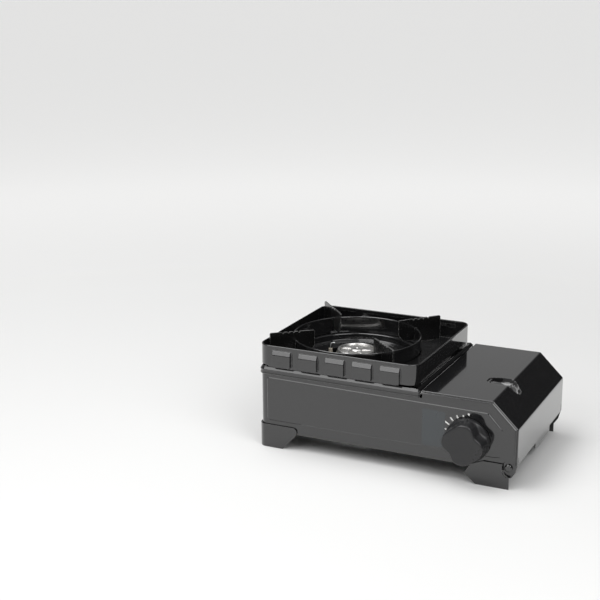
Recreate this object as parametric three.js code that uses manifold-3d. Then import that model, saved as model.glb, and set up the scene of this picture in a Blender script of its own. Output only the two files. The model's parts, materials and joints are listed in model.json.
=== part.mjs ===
// A compact cassette-gas camping stove: sheet-steel body with four corner feet, a burner inside a
// double windshield on the left, and a gas compartment under a hinged cover on the right.
// Units are millimetres. +X runs along the length towards the gas compartment, -Y is the side with
// the knob, +Z is up. The origin is the bottom centre of the whole stove, on the table.

import * as THREE from 'three';
import { mergeVertices } from 'three/addons/utils/BufferGeometryUtils.js';
import Module from 'manifold-3d';

const wasm = await Module();
wasm.setup();

// ---------------------------------------------------------------- driving dimensions
const LENGTH = 286;
const DEPTH = 193;
const HEIGHT = 122;
const KNOB_REACH = 19.3;          // how far the knob stands out of the front
const SHEET = 1.0;                // body sheet
const FOOT_SHEET = 1.2;
const GAP = 0.4;                  // air between neighbouring sheets

const HALF = LENGTH / 2;
const FRONT = -DEPTH / 2 + KNOB_REACH;   // foremost sheet: cover lip, top plate flange, feet
const REAR = DEPTH / 2;
const MID_Y = (FRONT + REAR) / 2;
const LAP = FOOT_SHEET + GAP;     // the shell sits this far inside the foremost sheet

const FLOOR_Z = 18.2;             // lower edge of the shell
const PLATE_Z = 90.4;             // top of the top plate
const PLATE_FLANGE = 8.4;
const PLATE_RIGHT = 39.6;

const COVER_LEFT = 42.8;
const COVER_TOP = 89.9;
const COVER_BEND = 116.6;         // where the flat top meets the chamfer
const COVER_CHAMFER_Z = 64;
const COVER_FOOT_Z = 26.3;        // lower edge of the cover's side wall
const COVER_LIP = 3.2;

const PIVOT = { x: 133.7, z: 22 };       // cover hinge axis, along Y
const PIN_R = 2.5;
const PIN_HOLE_R = 2.75;
const WINDOW = { z: 21.2, halfW: 5.8, halfH: 8.5 };  // opening in the sheet round each hinge pin

const KNOB = { x: 91.9, z: 45.8 };
const KNOB_BASE_R = 23;
const KNOB_FACE_R = 22.2;
// Each hollow of the grip, as its direction in degrees and its share of the full depth.
const GRIP_HOLLOWS = [[38, 1], [128, 0.4], [218, 1], [308, 0.4]];
const GRIP_HOLLOW_REACH = 0.66;

const BURNER = { x: -66.5, y: 12 };
const BURNER_TOP = 94;
const RING_R = 70;
const RING_TOP = 110.3;
const SHIELD = {
  left: -142.8, right: 36.9, front: FRONT + 0.8, rear: REAR - 2.6, base: 90.8, top: 114.4,
};
const SHIELD_CORNER = 13;
const LOUVRE = {
  count: 5, firstX: -114.1, pitch: 30.6, width: 22, low: 92.6, high: 110.3, depth: 3.8, rearDepth: 2.5,
};
const BLADE = { inner: 49.4, outer: 100.1, thick: 1.6 };
const KNOB_TURN = 90;            // degrees from off to ignite
const STRIKER_TRAVEL = 5;

const CAN = { x: 84, z: 54.2, r: 33.8 };   // the gas canister's place, axis along Y
const PORT_Y = -33;

// ---------------------------------------------------------------- materials
const finish = (color, roughness, metalness) => ({ color, roughness, metalness });
const BLACK_STEEL = finish(0x17171a, 0.18, 0.1);
const BLACK_PLASTIC = finish(0x1b1b1c, 0.45, 0);
const ZINC_STEEL = finish(0x9a9da0, 0.35, 1);
const DIECAST = finish(0xa6a8aa, 0.5, 1);
const ALUMINIUM = finish(0xc9cacb, 0.4, 1);
const BRASS = finish(0xb08d45, 0.35, 1);
const CERAMIC = finish(0xe9e6dd, 0.4, 0);
const LEAD_RUBBER = finish(0x8c1f1a, 0.6, 0);

// ---------------------------------------------------------------- helpers
const stove = new THREE.Group();

function closedSolid(geometry) {
  const bare = geometry.clone();
  bare.deleteAttribute('normal');
  bare.deleteAttribute('uv');
  const merged = mergeVertices(bare, 1e-3);
  const p = merged.getAttribute('position').array;
  const source = merged.index.array;
  const triangles = [];
  let volume = 0;
  const a = new THREE.Vector3();
  const b = new THREE.Vector3();
  const c = new THREE.Vector3();
  for (let i = 0; i < source.length; i += 3) {
    const [i0, i1, i2] = [source[i], source[i + 1], source[i + 2]];
    if (i0 === i1 || i1 === i2 || i2 === i0) continue;
    triangles.push(i0, i1, i2);
    a.fromArray(p, 3 * i0);
    b.fromArray(p, 3 * i1);
    c.fromArray(p, 3 * i2);
    volume += a.dot(b.cross(c)) / 6;
  }
  if (volume < 0) {
    for (let i = 0; i < triangles.length; i += 3) {
      [triangles[i], triangles[i + 1]] = [triangles[i + 1], triangles[i]];
    }
  }
  const mesh = new wasm.Mesh({
    numProp: 3,
    vertProperties: new Float32Array(p),
    triVerts: new Uint32Array(triangles),
  });
  return new wasm.Manifold(mesh);
}

function addPart(name, solid, look) {
  const data = solid.getMesh();
  const geometry = new THREE.BufferGeometry();
  geometry.setAttribute('position', new THREE.BufferAttribute(new Float32Array(data.vertProperties), 3));
  geometry.setIndex(new THREE.BufferAttribute(new Uint32Array(data.triVerts), 1));
  geometry.computeVertexNormals();
  const mesh = new THREE.Mesh(geometry, new THREE.MeshStandardMaterial(look));
  mesh.name = name;
  stove.add(mesh);
}

// A closed outline from points [u, v] or [u, v, cornerRadius].
function outline(points) {
  const shape = new THREE.Shape();
  const n = points.length;
  points.forEach(([u, v, r = 0], i) => {
    const [pu, pv] = points[(i + n - 1) % n];
    const [nu, nv] = points[(i + 1) % n];
    const before = Math.hypot(pu - u, pv - v);
    const after = Math.hypot(nu - u, nv - v);
    const start = [u + (pu - u) * r / before, v + (pv - v) * r / before];
    const end = [u + (nu - u) * r / after, v + (nv - v) * r / after];
    if (i === 0) shape.moveTo(...start);
    else shape.lineTo(...start);
    if (r > 0) shape.quadraticCurveTo(u, v, ...end);
  });
  shape.closePath();
  return shape;
}

const rectangle = (u0, u1, v0, v1, r = 0) => outline([[u0, v0, r], [u1, v0, r], [u1, v1, r], [u0, v1, r]]);

function circle(u, v, r) {
  const shape = new THREE.Shape();
  shape.absarc(u, v, r, 0, 2 * Math.PI, false);
  return shape;
}

// Extrusions of an outline: plan outlines rise along Z, front outlines (x, z) run along Y and
// side outlines (y, z) run along X.
function extrude(shape, length, curveSegments) {
  return new THREE.ExtrudeGeometry(shape, { depth: length, bevelEnabled: false, curveSegments });
}

function fromPlan(shape, z0, z1, curveSegments = 5) {
  return closedSolid(extrude(shape, z1 - z0, curveSegments).translate(0, 0, z0));
}

function fromFront(shape, y0, y1, curveSegments = 5) {
  return closedSolid(extrude(shape, y1 - y0, curveSegments).rotateX(Math.PI / 2).translate(0, y1, 0));
}

function fromSide(shape, x0, x1, curveSegments = 5) {
  const turn = new THREE.Matrix4().makeBasis(
    new THREE.Vector3(0, 1, 0), new THREE.Vector3(0, 0, 1), new THREE.Vector3(1, 0, 0));
  return closedSolid(extrude(shape, x1 - x0, curveSegments).applyMatrix4(turn).translate(x0, 0, 0));
}

const box = (x0, x1, y0, y1, z0, z1) => fromPlan(rectangle(x0, x1, y0, y1), z0, z1);

// Turned pieces: profile points are [radius, height along the axis].
function turned(profile, segments) {
  return new THREE.LatheGeometry(profile.map(([r, h]) => new THREE.Vector2(r, h)), segments);
}

const turnedUp = (profile, x, y, segments = 24) =>
  closedSolid(turned(profile, segments).rotateX(Math.PI / 2).translate(x, y, 0));
const turnedBack = (profile, x, z, segments = 24) =>
  closedSolid(turned(profile, segments).translate(x, 0, z));
const turnedRight = (profile, y, z, segments = 24) =>
  closedSolid(turned(profile, segments).rotateZ(-Math.PI / 2).translate(0, y, z));

const disc = (r, h0, h1) => [[0, h0], [r, h0], [r, h1], [0, h1]];
const ringProfile = (r0, r1, h0, h1) => [[r0, h0], [r1, h0], [r1, h1], [r0, h1], [r0, h0]];
const rodBack = (x, z, r, y0, y1, segments = 24) => turnedBack(disc(r, y0, y1), x, z, segments);

// A polyline and its copy moved sideways by distance (to the right of its direction).
function shifted(points, distance) {
  const lines = points.slice(1).map(([u, v], i) => {
    const [pu, pv] = points[i];
    const length = Math.hypot(u - pu, v - pv);
    const [du, dv] = [(u - pu) / length, (v - pv) / length];
    return { u: pu + dv * distance, v: pv - du * distance, du, dv, length };
  });
  const first = lines[0];
  const last = lines[lines.length - 1];
  const result = [[first.u, first.v]];
  for (let i = 1; i < lines.length; i += 1) {
    const [p, q] = [lines[i - 1], lines[i]];
    const cross = p.du * q.dv - p.dv * q.du;
    const t = ((q.u - p.u) * q.dv - (q.v - p.v) * q.du) / cross;
    result.push([p.u + p.du * t, p.v + p.dv * t]);
  }
  result.push([last.u + last.du * last.length, last.v + last.dv * last.length]);
  return result;
}

// A bent sheet seen along its bend lines.
const bentSheet = (points, thickness) => outline([...points, ...shifted(points, thickness).reverse()]);

function mirroredBack(solid) {
  return solid.translate([0, -MID_Y, 0]).mirror([0, 1, 0]).translate([0, MID_Y, 0]);
}

function tube(points, radius, steps, sides) {
  const path = new THREE.CatmullRomCurve3(points.map((p) => new THREE.Vector3(...p)), false, 'centripetal');
  const geometry = new THREE.ExtrudeGeometry(circle(0, 0, radius), {
    steps, curveSegments: sides, bevelEnabled: false, extrudePath: path,
  });
  return closedSolid(geometry);
}

// ---------------------------------------------------------------- cover profile
// From the left edge over the flat top, down the chamfer and down the side wall.
const coverLine = [
  [COVER_LEFT, COVER_TOP],
  [COVER_BEND, COVER_TOP],
  [HALF, COVER_CHAMFER_Z],
  [HALF, COVER_FOOT_Z],
];

// The region under the cover's sheet, to trim what it closes over.
function underCover(inset) {
  const inner = shifted(coverLine, inset);
  inner[0][0] = -HALF - 10;
  const wall = inner[inner.length - 1];
  return [...inner, [wall[0], -10], [-HALF - 10, -10]];
}

function hingeWindow(y0, y1) {
  const { z, halfW, halfH } = WINDOW;
  const r = halfW;
  return fromFront(rectangle(PIVOT.x - halfW, PIVOT.x + halfW, z - halfH, z + halfH, r), y0, y1, 4);
}

// ---------------------------------------------------------------- body shell
function bodyShell() {
  const [left, front, rear] = [-HALF + LAP, FRONT + LAP, REAR - LAP];
  const end = HALF - 3.2;
  const wrap = outline([
    [end, front], [left, front, 8], [left, rear, 8], [end, rear],
    [end, rear - SHEET], [left + SHEET, rear - SHEET, 7],
    [left + SHEET, front + SHEET, 7], [end, front + SHEET],
  ]);
  const field = outline([
    [-138, 30.4, 3], [118, 30.7, 2], [126.4, 31.8, 2], [127.2, 60.6, 3], [112, 76.6, 3], [-138, 79, 3],
  ]);
  let shell = fromPlan(wrap, FLOOR_Z, PLATE_Z - SHEET - GAP);
  shell = shell.add(fromFront(field, front - 0.6, front + 0.2, 3));
  const overTop = underCover(SHEET + 0.5);
  const keep = [
    [-HALF - 10, 120], [PLATE_RIGHT + 1, 120], [PLATE_RIGHT + 1, overTop[0][1]], ...overTop.slice(1),
  ];
  shell = shell.intersect(fromFront(outline(keep), FRONT - 5, REAR + 5));
  shell = shell.subtract(rodBack(KNOB.x, KNOB.z, 9, FRONT - 1, FRONT + 5));
  const skirt = rectangle(CAN.x - 28, CAN.x + 28, FLOOR_Z - 4, FLOOR_Z + 4, 3);
  shell = shell.add(fromFront(skirt, rear - SHEET, rear, 3));
  shell = shell.subtract(rodBack(CAN.x, CAN.z, CAN.r + 0.7, REAR - 6, REAR + 2, 40));
  shell = shell.subtract(hingeWindow(FRONT - 1, FRONT + 5)).subtract(hingeWindow(REAR - 5, REAR + 1));
  return shell;
}
addPart('body_shell', bodyShell(), BLACK_STEEL);

// Left corners rounded, right end square.
const leftRounded = (left, right, front, rear, r) =>
  outline([[left, front, r], [right, front], [right, rear], [left, rear, r]]);

function topPlate() {
  const low = PLATE_Z - PLATE_FLANGE;
  const pan = fromPlan(leftRounded(-HALF, PLATE_RIGHT, FRONT, REAR, 9), low, PLATE_Z);
  const inside = leftRounded(-HALF + SHEET, PLATE_RIGHT - SHEET, FRONT + SHEET, REAR - SHEET, 8);
  const cavity = fromPlan(inside, low - 1, PLATE_Z - SHEET);
  const right = PLATE_RIGHT - SHEET;
  const wallSlot = (y) => box(right - 4, right + 2, y - 1.1, y + 1.1, low - 1, PLATE_Z - SHEET);
  return pan
    .subtract(cavity)
    .subtract(wallSlot(FRONT + LAP + SHEET / 2))
    .subtract(wallSlot(REAR - LAP - SHEET / 2))
    .subtract(turnedUp(disc(66, low, PLATE_Z + 1), BURNER.x, BURNER.y, 40));
}
addPart('top_plate', topPlate(), BLACK_STEEL);

const FLOOR_TOP = FLOOR_Z + 0.2 + SHEET;
const EAR_Y = { outer: FRONT + LAP + SHEET + 0.7, inner: FRONT + LAP + SHEET + 0.7 + FOOT_SHEET };
const INNER = {
  left: -HALF + LAP + SHEET + GAP,
  front: FRONT + LAP + SHEET + GAP,
  rear: REAR - LAP - SHEET - GAP,
};

function floorPlate() {
  const shape = leftRounded(INNER.left, 126.5, INNER.front, INNER.rear, 6);
  let plate = fromPlan(shape, FLOOR_Z + 0.2, FLOOR_TOP);
  for (let i = 0; i < 5; i += 1) {
    const y = BURNER.y - 44 + 22 * i;
    const slot = rectangle(-100, -34, y - 3, y + 3, 2.9);
    plate = plate.subtract(fromPlan(slot, FLOOR_Z - 1, FLOOR_TOP + 1, 3));
  }
  const earSlot = box(110, 130, FRONT, EAR_Y.inner + GAP, FLOOR_Z - 1, FLOOR_TOP + 1);
  return plate.subtract(earSlot).subtract(mirroredBack(earSlot));
}
addPart('floor_plate', floorPlate(), BLACK_STEEL);

// A foot that wraps a rounded corner, its two legs cut on the diagonal.
const FOOT = { reach: 45.7, footprint: 28.7, shoulder: 17, top: 25.8 };

function legKeep(corner) {
  const { reach, footprint, shoulder, top } = FOOT;
  return outline([
    [corner - 1, 0], [corner + footprint, 0], [corner + reach - 1.2, shoulder, 2],
    [corner + reach, top, 4.5], [corner - 1, top],
  ]);
}

function cornerFoot() {
  const t = FOOT_SHEET;
  const strip = outline([
    [-HALF + FOOT.reach, FRONT], [-HALF, FRONT, 9.6], [-HALF, FRONT + FOOT.reach],
    [-HALF + t, FRONT + FOOT.reach], [-HALF + t, FRONT + t, 8.4], [-HALF + FOOT.reach, FRONT + t],
  ]);
  return fromPlan(strip, 0, FOOT.top + 1)
    .intersect(fromFront(legKeep(-HALF), FRONT - 1, FRONT + 60, 4))
    .intersect(fromSide(legKeep(FRONT), -HALF - 1, -HALF + 60, 4));
}
addPart('foot_front_left', cornerFoot(), BLACK_STEEL);
addPart('foot_rear_left', mirroredBack(cornerFoot()), BLACK_STEEL);

// The feet under the cover are flat plates, open round the hinge pin.
function plateFoot() {
  const shape = outline([
    [101.3, 0], [135.2, 0], [135.2, 26], [108.6, 26, 2], [95.2, 20.6, 3], [89.1, 10.3, 1],
  ]);
  return fromFront(shape, FRONT, FRONT + FOOT_SHEET).subtract(hingeWindow(FRONT - 1, FRONT + 3));
}
addPart('foot_front_right', plateFoot(), BLACK_STEEL);
addPart('foot_rear_right', mirroredBack(plateFoot()), BLACK_STEEL);

const sillLine = [[119, FLOOR_Z - 0.2], [136.6, FLOOR_Z - 0.2], [136.6, 10]];
addPart('side_sill', fromFront(bentSheet(sillLine, SHEET), MID_Y + 5, MID_Y + 62), BLACK_STEEL);

// ---------------------------------------------------------------- inner frame
const PARTITION = { x0: 41.2, x1: 42.2 };
const LEAD_HOLE = { y: -67, z: 32 };

function heatPartition() {
  const wall = box(PARTITION.x0, PARTITION.x1, INNER.front, INNER.rear, FLOOR_TOP + 0.3, 81.5);
  const tubeHole = turnedRight(disc(12, PARTITION.x0 - 1, PARTITION.x1 + 1), -50.5, 45.8);
  const leadHole = turnedRight(disc(3.4, PARTITION.x0 - 1, PARTITION.x1 + 1), LEAD_HOLE.y, LEAD_HOLE.z, 12);
  const panelSlot = box(PARTITION.x0 - 1, PARTITION.x1 + 1, MID_Y - 26, MID_Y + 46, FLOOR_TOP, 27);
  return wall.subtract(tubeHole).subtract(leadHole).subtract(panelSlot);
}
addPart('heat_partition', heatPartition(), ZINC_STEEL);

// Each hinge bracket stands behind the cover's ear and carries a hinge pin.
function hingeBracket() {
  const y0 = EAR_Y.inner + 0.5;
  const shape = outline([[127.2, 17.5, 1], [138.4, 17.5, 4], [138.4, 29, 4], [127.2, 29, 2]]);
  const foot = box(112, 130, y0, y0 + 12, FLOOR_TOP + 0.3, FLOOR_TOP + 1.5);
  return fromFront(shape, y0, y0 + 1.5)
    .add(foot)
    .subtract(rodBack(PIVOT.x, PIVOT.z, PIN_HOLE_R, y0 - 1, y0 + 3))
    .subtract(box(128.2, 140, y0 + 1.5, y0 + 13, 10, 30));
}
addPart('hinge_bracket_front', hingeBracket(), ZINC_STEEL);
addPart('hinge_bracket_rear', mirroredBack(hingeBracket()), ZINC_STEEL);

function hingePin() {
  const head = FRONT + 0.9;
  const profile = [
    [0, head], [2.6, head], [4, head + 1], [4, EAR_Y.outer - 0.4], [PIN_R, EAR_Y.outer - 0.4],
    [PIN_R, EAR_Y.inner + 3.4], [0, EAR_Y.inner + 3.4],
  ];
  return turnedBack(profile, PIVOT.x, PIVOT.z);
}
addPart('hinge_pin_front', hingePin(), ZINC_STEEL);
addPart('hinge_pin_rear', mirroredBack(hingePin()), ZINC_STEEL);

// Two bent rails hold the canister from below.
const railLine = [[7, FLOOR_TOP + 1.5], [15, FLOOR_TOP + 1.5], [26.5, FLOOR_TOP + 13]];

function canisterRail(side) {
  const points = railLine.map(([u, z]) => [CAN.x + side * u, z]);
  return fromFront(bentSheet(points, side * SHEET), -22, 84);
}
addPart('canister_rail_left', canisterRail(-1), ZINC_STEEL);
addPart('canister_rail_right', canisterRail(1), ZINC_STEEL);

// The heat panel carries warmth from under the burner to the canister.
const panelLine = [[-44, 25.4], [48.4, 25.4], [48.4, 66]];
addPart('heat_panel', fromFront(bentSheet(panelLine, SHEET), MID_Y - 24, MID_Y + 44), ALUMINIUM);

// ---------------------------------------------------------------- gas train
// The canister holder slides on two pins in the regulator's back.
const GUIDE_ANGLES = [-90, 20];
const GUIDE_R = 19;
const guidePoint = (angle) => [
  CAN.x + GUIDE_R * Math.cos(THREE.MathUtils.degToRad(angle)),
  CAN.z + GUIDE_R * Math.sin(THREE.MathUtils.degToRad(angle)),
];

const REGULATOR = { y0: -66, y1: -40 };

function regulatorBody() {
  const block = fromFront(rectangle(70, 108, 32, 66, 5), REGULATOR.y0, REGULATOR.y1, 3);
  const neck = rodBack(KNOB.x, KNOB.z, 7.4, REGULATOR.y0 - 3, REGULATOR.y0 + 1);
  const bore = rodBack(KNOB.x, KNOB.z, 3.6, INNER.front, -50);
  const outlet = turnedRight(disc(8, 62, 71), -52, 45.8);
  const nozzleBore = turnedRight(disc(4.2, 60, 80), -52, 45.8);
  let body = block.add(neck).add(outlet).subtract(bore).subtract(nozzleBore);
  for (const angle of GUIDE_ANGLES) {
    body = body.subtract(rodBack(...guidePoint(angle), 2, REGULATOR.y1 - 10, REGULATOR.y1 + 1, 12));
  }
  return body;
}
addPart('regulator_body', regulatorBody(), DIECAST);

const domeProfile = [[0, 66.3], [15, 66.3], [15, 69], [12, 73], [4, 74.5], [0, 74.5]];
addPart('regulator_dome', turnedUp(domeProfile, 88, -53), DIECAST);

const portProfile = ringProfile(3.2, 6.5, REGULATOR.y1 + 0.3, PORT_Y);
addPart('canister_port', turnedBack(portProfile, CAN.x, CAN.z), BRASS);

const nozzleProfile = [
  [0.6, 52], [2.4, 52], [2.4, 56], [5.4, 57], [5.4, 61], [3.8, 61.3], [3.8, 76], [0.6, 76], [0.6, 52],
];
addPart('gas_nozzle', turnedRight(nozzleProfile, -52, 45.8, 20), BRASS);

function mixingTube() {
  const middle = [[34, -49, 45.8], [4, -34, 50], [-26, -10, 60]];
  const outside = tube([[50, -52, 45.8], ...middle, [-43.2, 3, 63.8]], 9.5, 18, 7);
  const bore = tube([[56, -53, 45.8], ...middle, [-46, 6.6, 65]], 8.3, 18, 7);
  return outside.subtract(bore);
}
addPart('mixing_tube', mixingTube(), ZINC_STEEL);

const bowlProfile = [
  [0, 54], [17, 54], [23, 58], [23, 74], [27, 80], [27, 83.6], [25, 83.6], [25, 80.6],
  [21, 75], [21, 60], [0, 57], [0, 54],
];
addPart('burner_body', turnedUp(bowlProfile, BURNER.x, BURNER.y, 32), DIECAST);

const capProfile = [
  [9, 84], [26.4, 84], [26.4, 85.4], [22.6, 86.8], [22.6, 89.6], [20.8, BURNER_TOP], [18.6, BURNER_TOP],
  [17.6, 91.4], [9, 90.6], [9, 84],
];
addPart('burner_cap', turnedUp(capProfile, BURNER.x, BURNER.y, 40), ALUMINIUM);

function swirlPlate() {
  let plate = turnedUp([[0, 91.2], [8.6, 91.2], [8.6, 92.0], [17.2, 92.2], [17.2, 93], [5, 92.8], [0, 94]],
    BURNER.x, BURNER.y, 28);
  for (let i = 0; i < 6; i += 1) {
    const port = fromPlan(rectangle(7, 13.5, -0.9, 0.9, 0.8), 90, 95, 2)
      .rotate([0, 0, 60 * i + 12])
      .translate([BURNER.x, BURNER.y, 0]);
    plate = plate.subtract(port);
  }
  return plate;
}
addPart('swirl_plate', swirlPlate(), ALUMINIUM);

function burnerBracket() {
  const base = box(BURNER.x - 20, BURNER.x + 20, BURNER.y - 8, BURNER.y + 8, 27, 28.2);
  const post = (x) => box(x - 0.6, x + 0.6, BURNER.y - 8, BURNER.y + 8, 28, 53.6);
  const flange = (x0, x1) => box(x0, x1, BURNER.y - 8, BURNER.y + 8, 52.4, 53.6);
  return base.add(post(BURNER.x - 19.4)).add(post(BURNER.x + 19.4))
    .add(flange(BURNER.x - 20, BURNER.x - 9)).add(flange(BURNER.x + 9, BURNER.x + 20));
}
addPart('burner_bracket', burnerBracket(), ZINC_STEEL);

// ---------------------------------------------------------------- ignition
const CAM = { y0: -73, y1: -69.6, r0: 7.4 };

// The igniter's plunger points at the cam. The cam's spiral edge grows as the knob turns, so the
// plunger's travel keeps a constant ratio to the turn.
const IGNITER = { x0: 52, x1: 74, y0: -73.4, y1: -66.4, z0: 40, z1: 51.6 };

function igniterBody() {
  const { x0, x1, y0, y1, z0, z1 } = IGNITER;
  const housing = fromPlan(rectangle(x0, x1, y0, y1, 1), z0, z1, 2);
  return housing.subtract(box(x0 + 6, x1 + 1, y0 + 1.4, y1 - 1.4, KNOB.z - 3, KNOB.z + 3));
}
addPart('igniter_body', igniterBody(), BLACK_PLASTIC);

function igniterPlunger() {
  const { x0, y0, y1 } = IGNITER;
  const nose = KNOB.x - CAM.r0 - 0.7;
  const start = x0 + 6.5 + STRIKER_TRAVEL;
  const shape = outline([
    [start, KNOB.z - 2.6], [nose - 4, KNOB.z - 2.6], [nose, KNOB.z - 0.8], [nose, KNOB.z + 0.8],
    [nose - 4, KNOB.z + 2.6], [start, KNOB.z + 2.6],
  ]);
  return fromFront(shape, y0 + 1.8, y1 - 1.8);
}
addPart('igniter_plunger', igniterPlunger(), CERAMIC);

const leadRoute = [
  [51.6, -69.9, 45.8], [49.8, -69.9, 45.6], [46.4, -69.4, 42.6], [44.6, -68.2, 36.4],
  [41.7, LEAD_HOLE.y, LEAD_HOLE.z],
  [36, -66.5, 28.5], [20, -66, 25.5], [-20, -64, 25.5], [-60, -56, 26], [-86, -40, 27], [-97, -22, 32],
  [-100, -6, 44], [-99, 7, 58], [-98.2, 12, 69.6],
];
addPart('ignition_lead', tube(leadRoute, 1.3, 64, 4), LEAD_RUBBER);

const ELECTRODE = { x: -98.2, y: 12 };
const ceramicProfile = ringProfile(0.9, 2.2, 73, 90);
addPart('electrode_ceramic', turnedUp(ceramicProfile, ELECTRODE.x, ELECTRODE.y, 16), CERAMIC);

function electrodeWire() {
  const { x, y } = ELECTRODE;
  const straight = [[x, y, 71], [x, y, 82], [x, y, 91]];
  const hook = [[x + 0.4, y, 95], [x + 2, y, 96.6], [x + 5.4, y, 97]];
  return tube([...straight, ...hook], 0.6, 14, 3);
}
addPart('electrode_wire', electrodeWire(), ZINC_STEEL);

function electrodeBracket() {
  const { x, y } = ELECTRODE;
  const tab = fromPlan(rectangle(x - 4.5, BURNER.x - 24.4, y - 4, y + 4, 1), 75, 76.2, 2);
  return tab.subtract(turnedUp(disc(2.6, 70, 78), x, y, 16));
}
addPart('electrode_bracket', electrodeBracket(), ZINC_STEEL);

// ---------------------------------------------------------------- knob and its shaft
// How far the grip is hollowed at an angle, from 0 to 1.
function gripHollow(angle) {
  let hollow = 0;
  for (const [degrees, share] of GRIP_HOLLOWS) {
    const away = Math.abs(Math.atan2(
      Math.sin(angle - degrees * Math.PI / 180), Math.cos(angle - degrees * Math.PI / 180),
    ));
    if (away < GRIP_HOLLOW_REACH) hollow += share * Math.cos(Math.PI * away / (2 * GRIP_HOLLOW_REACH)) ** 2;
  }
  return hollow;
}

function lobedOutline(radius, depth, samples) {
  const points = [];
  for (let i = 0; i < samples; i += 1) {
    const angle = 2 * Math.PI * i / samples;
    const r = radius - depth * gripHollow(angle);
    points.push([r * Math.cos(angle), r * Math.sin(angle)]);
  }
  return outline(points);
}

function controlKnob() {
  const face = -DEPTH / 2;
  const back = FRONT + 0.3;
  const grip = fromFront(lobedOutline(KNOB_FACE_R, 4.8, 64), face, back - 4);
  const skirt = fromFront(lobedOutline(KNOB_BASE_R, 0.4, 64), back - 5, back);
  const hollow = rodBack(0, 0, 16.4, face + 3, back + 1, 32);
  const hub = rodBack(0, 0, 6.4, face + 2, back, 20);
  const socket = rodBack(0, 0, 3.4, face + 5, back + 1, 20);
  return grip.add(skirt).subtract(hollow).add(hub).subtract(socket).translate([KNOB.x, 0, KNOB.z]);
}
addPart('control_knob', controlKnob(), BLACK_PLASTIC);

addPart('valve_spindle', rodBack(KNOB.x, KNOB.z, 3, -DEPTH / 2 + 5.4, -50.6, 20), BRASS);

// Angles are measured from +X towards +Z. The spiral lies on the plunger's side at rest and, seen
// from the front, turns anticlockwise past the plunger.
function igniterCam() {
  const points = [];
  const steps = 14;
  const lead = 14;
  for (let i = 0; i <= steps; i += 1) {
    const turn = -lead + (KNOB_TURN + 2 * lead) * i / steps;
    const angle = THREE.MathUtils.degToRad(180 - turn);
    const r = CAM.r0 + STRIKER_TRAVEL * turn / KNOB_TURN;
    points.push([r * Math.cos(angle), r * Math.sin(angle)]);
  }
  for (let i = 1; i < 8; i += 1) {
    const angle = THREE.MathUtils.degToRad(180 - KNOB_TURN - lead - (360 - KNOB_TURN - 2 * lead) * i / 8);
    points.push([6 * Math.cos(angle), 6 * Math.sin(angle)]);
  }
  return fromFront(outline(points), CAM.y0, CAM.y1)
    .subtract(rodBack(0, 0, 3.4, CAM.y0 - 1, CAM.y1 + 1, 20))
    .translate([KNOB.x, 0, KNOB.z]);
}
addPart('igniter_cam', igniterCam(), BLACK_PLASTIC);

// ---------------------------------------------------------------- canister holder
// A ring with magnets that grips the canister's rim, and gives by a few millimetres on two pins.
function canisterHolder() {
  const y0 = PORT_Y + 4.6;
  let ring = turnedBack(ringProfile(13.5, 24, y0, y0 + 3), CAN.x, CAN.z, 36);
  ring = ring.add(box(CAN.x - 2.4, CAN.x + 2.4, y0, y0 + 9, CAN.z + 20, CAN.z + 23.4));
  for (const angle of GUIDE_ANGLES) {
    ring = ring.add(rodBack(...guidePoint(angle), 1.5, REGULATOR.y1 - 5, y0 + 1, 12));
  }
  return ring;
}
addPart('canister_holder', canisterHolder(), ZINC_STEEL);

// ---------------------------------------------------------------- cover
const SCOOP = { x: 110, y: -16.5, z: 88.2, tilt: 22, rx: 19, ry: 11, rz: 6.5 };

function scoopBody(grow) {
  const { x, y, z, tilt, rx, ry, rz } = SCOOP;
  const geometry = new THREE.SphereGeometry(1, 28, 16)
    .scale(rx + grow, ry + grow, rz + grow)
    .rotateY(THREE.MathUtils.degToRad(tilt))
    .translate(x, y, z);
  return closedSolid(geometry);
}

function canisterCover() {
  const [y0, y1] = [FRONT, REAR];
  let cover = fromFront(bentSheet(coverLine, SHEET), y0, y1);
  const lip = outline([...coverLine, ...shifted(coverLine, COVER_LIP).reverse()]);
  cover = cover.add(fromFront(lip, y0, y0 + SHEET)).add(fromFront(lip, y1 - SHEET, y1));
  const flange = box(COVER_LEFT, COVER_LEFT + SHEET, y0 + 3.4, y1 - 3.4, COVER_TOP - 5.5, COVER_TOP - 0.5);
  cover = cover.add(flange);
  const under = fromFront(outline(underCover(0.2)), y0 + 2, y1 - 2);
  cover = cover.add(scoopBody(SHEET).intersect(under)).subtract(scoopBody(0));
  const ear = outline([
    [HALF, 34], [HALF, COVER_FOOT_Z, 1], [140.6, 17.6, 3], [135.8, 10.2, 3], [129.8, 14, 3],
    [128.4, 26, 4], [135, 34, 2],
  ]);
  const earPlate = fromFront(ear, EAR_Y.outer, EAR_Y.inner)
    .subtract(rodBack(PIVOT.x, PIVOT.z, PIN_HOLE_R, EAR_Y.outer - 1, EAR_Y.inner + 1));
  return cover.add(earPlate).add(mirroredBack(earPlate));
}
addPart('canister_cover', canisterCover(), BLACK_STEEL);

// ---------------------------------------------------------------- windshield unit
// A pressed louvre facing -Y at the origin: a box whose top slopes back to the sheet.
function louvrePress(inset, depth) {
  const { width, low, high } = LOUVRE;
  const profile = outline([
    [1, low + inset], [inset - depth, low + inset], [inset - depth, high - 5 - 0.4 * inset],
    [inset - 1.2, high - inset], [1, high - inset],
  ]);
  return fromSide(profile, inset - width / 2, width / 2 - inset);
}

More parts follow.
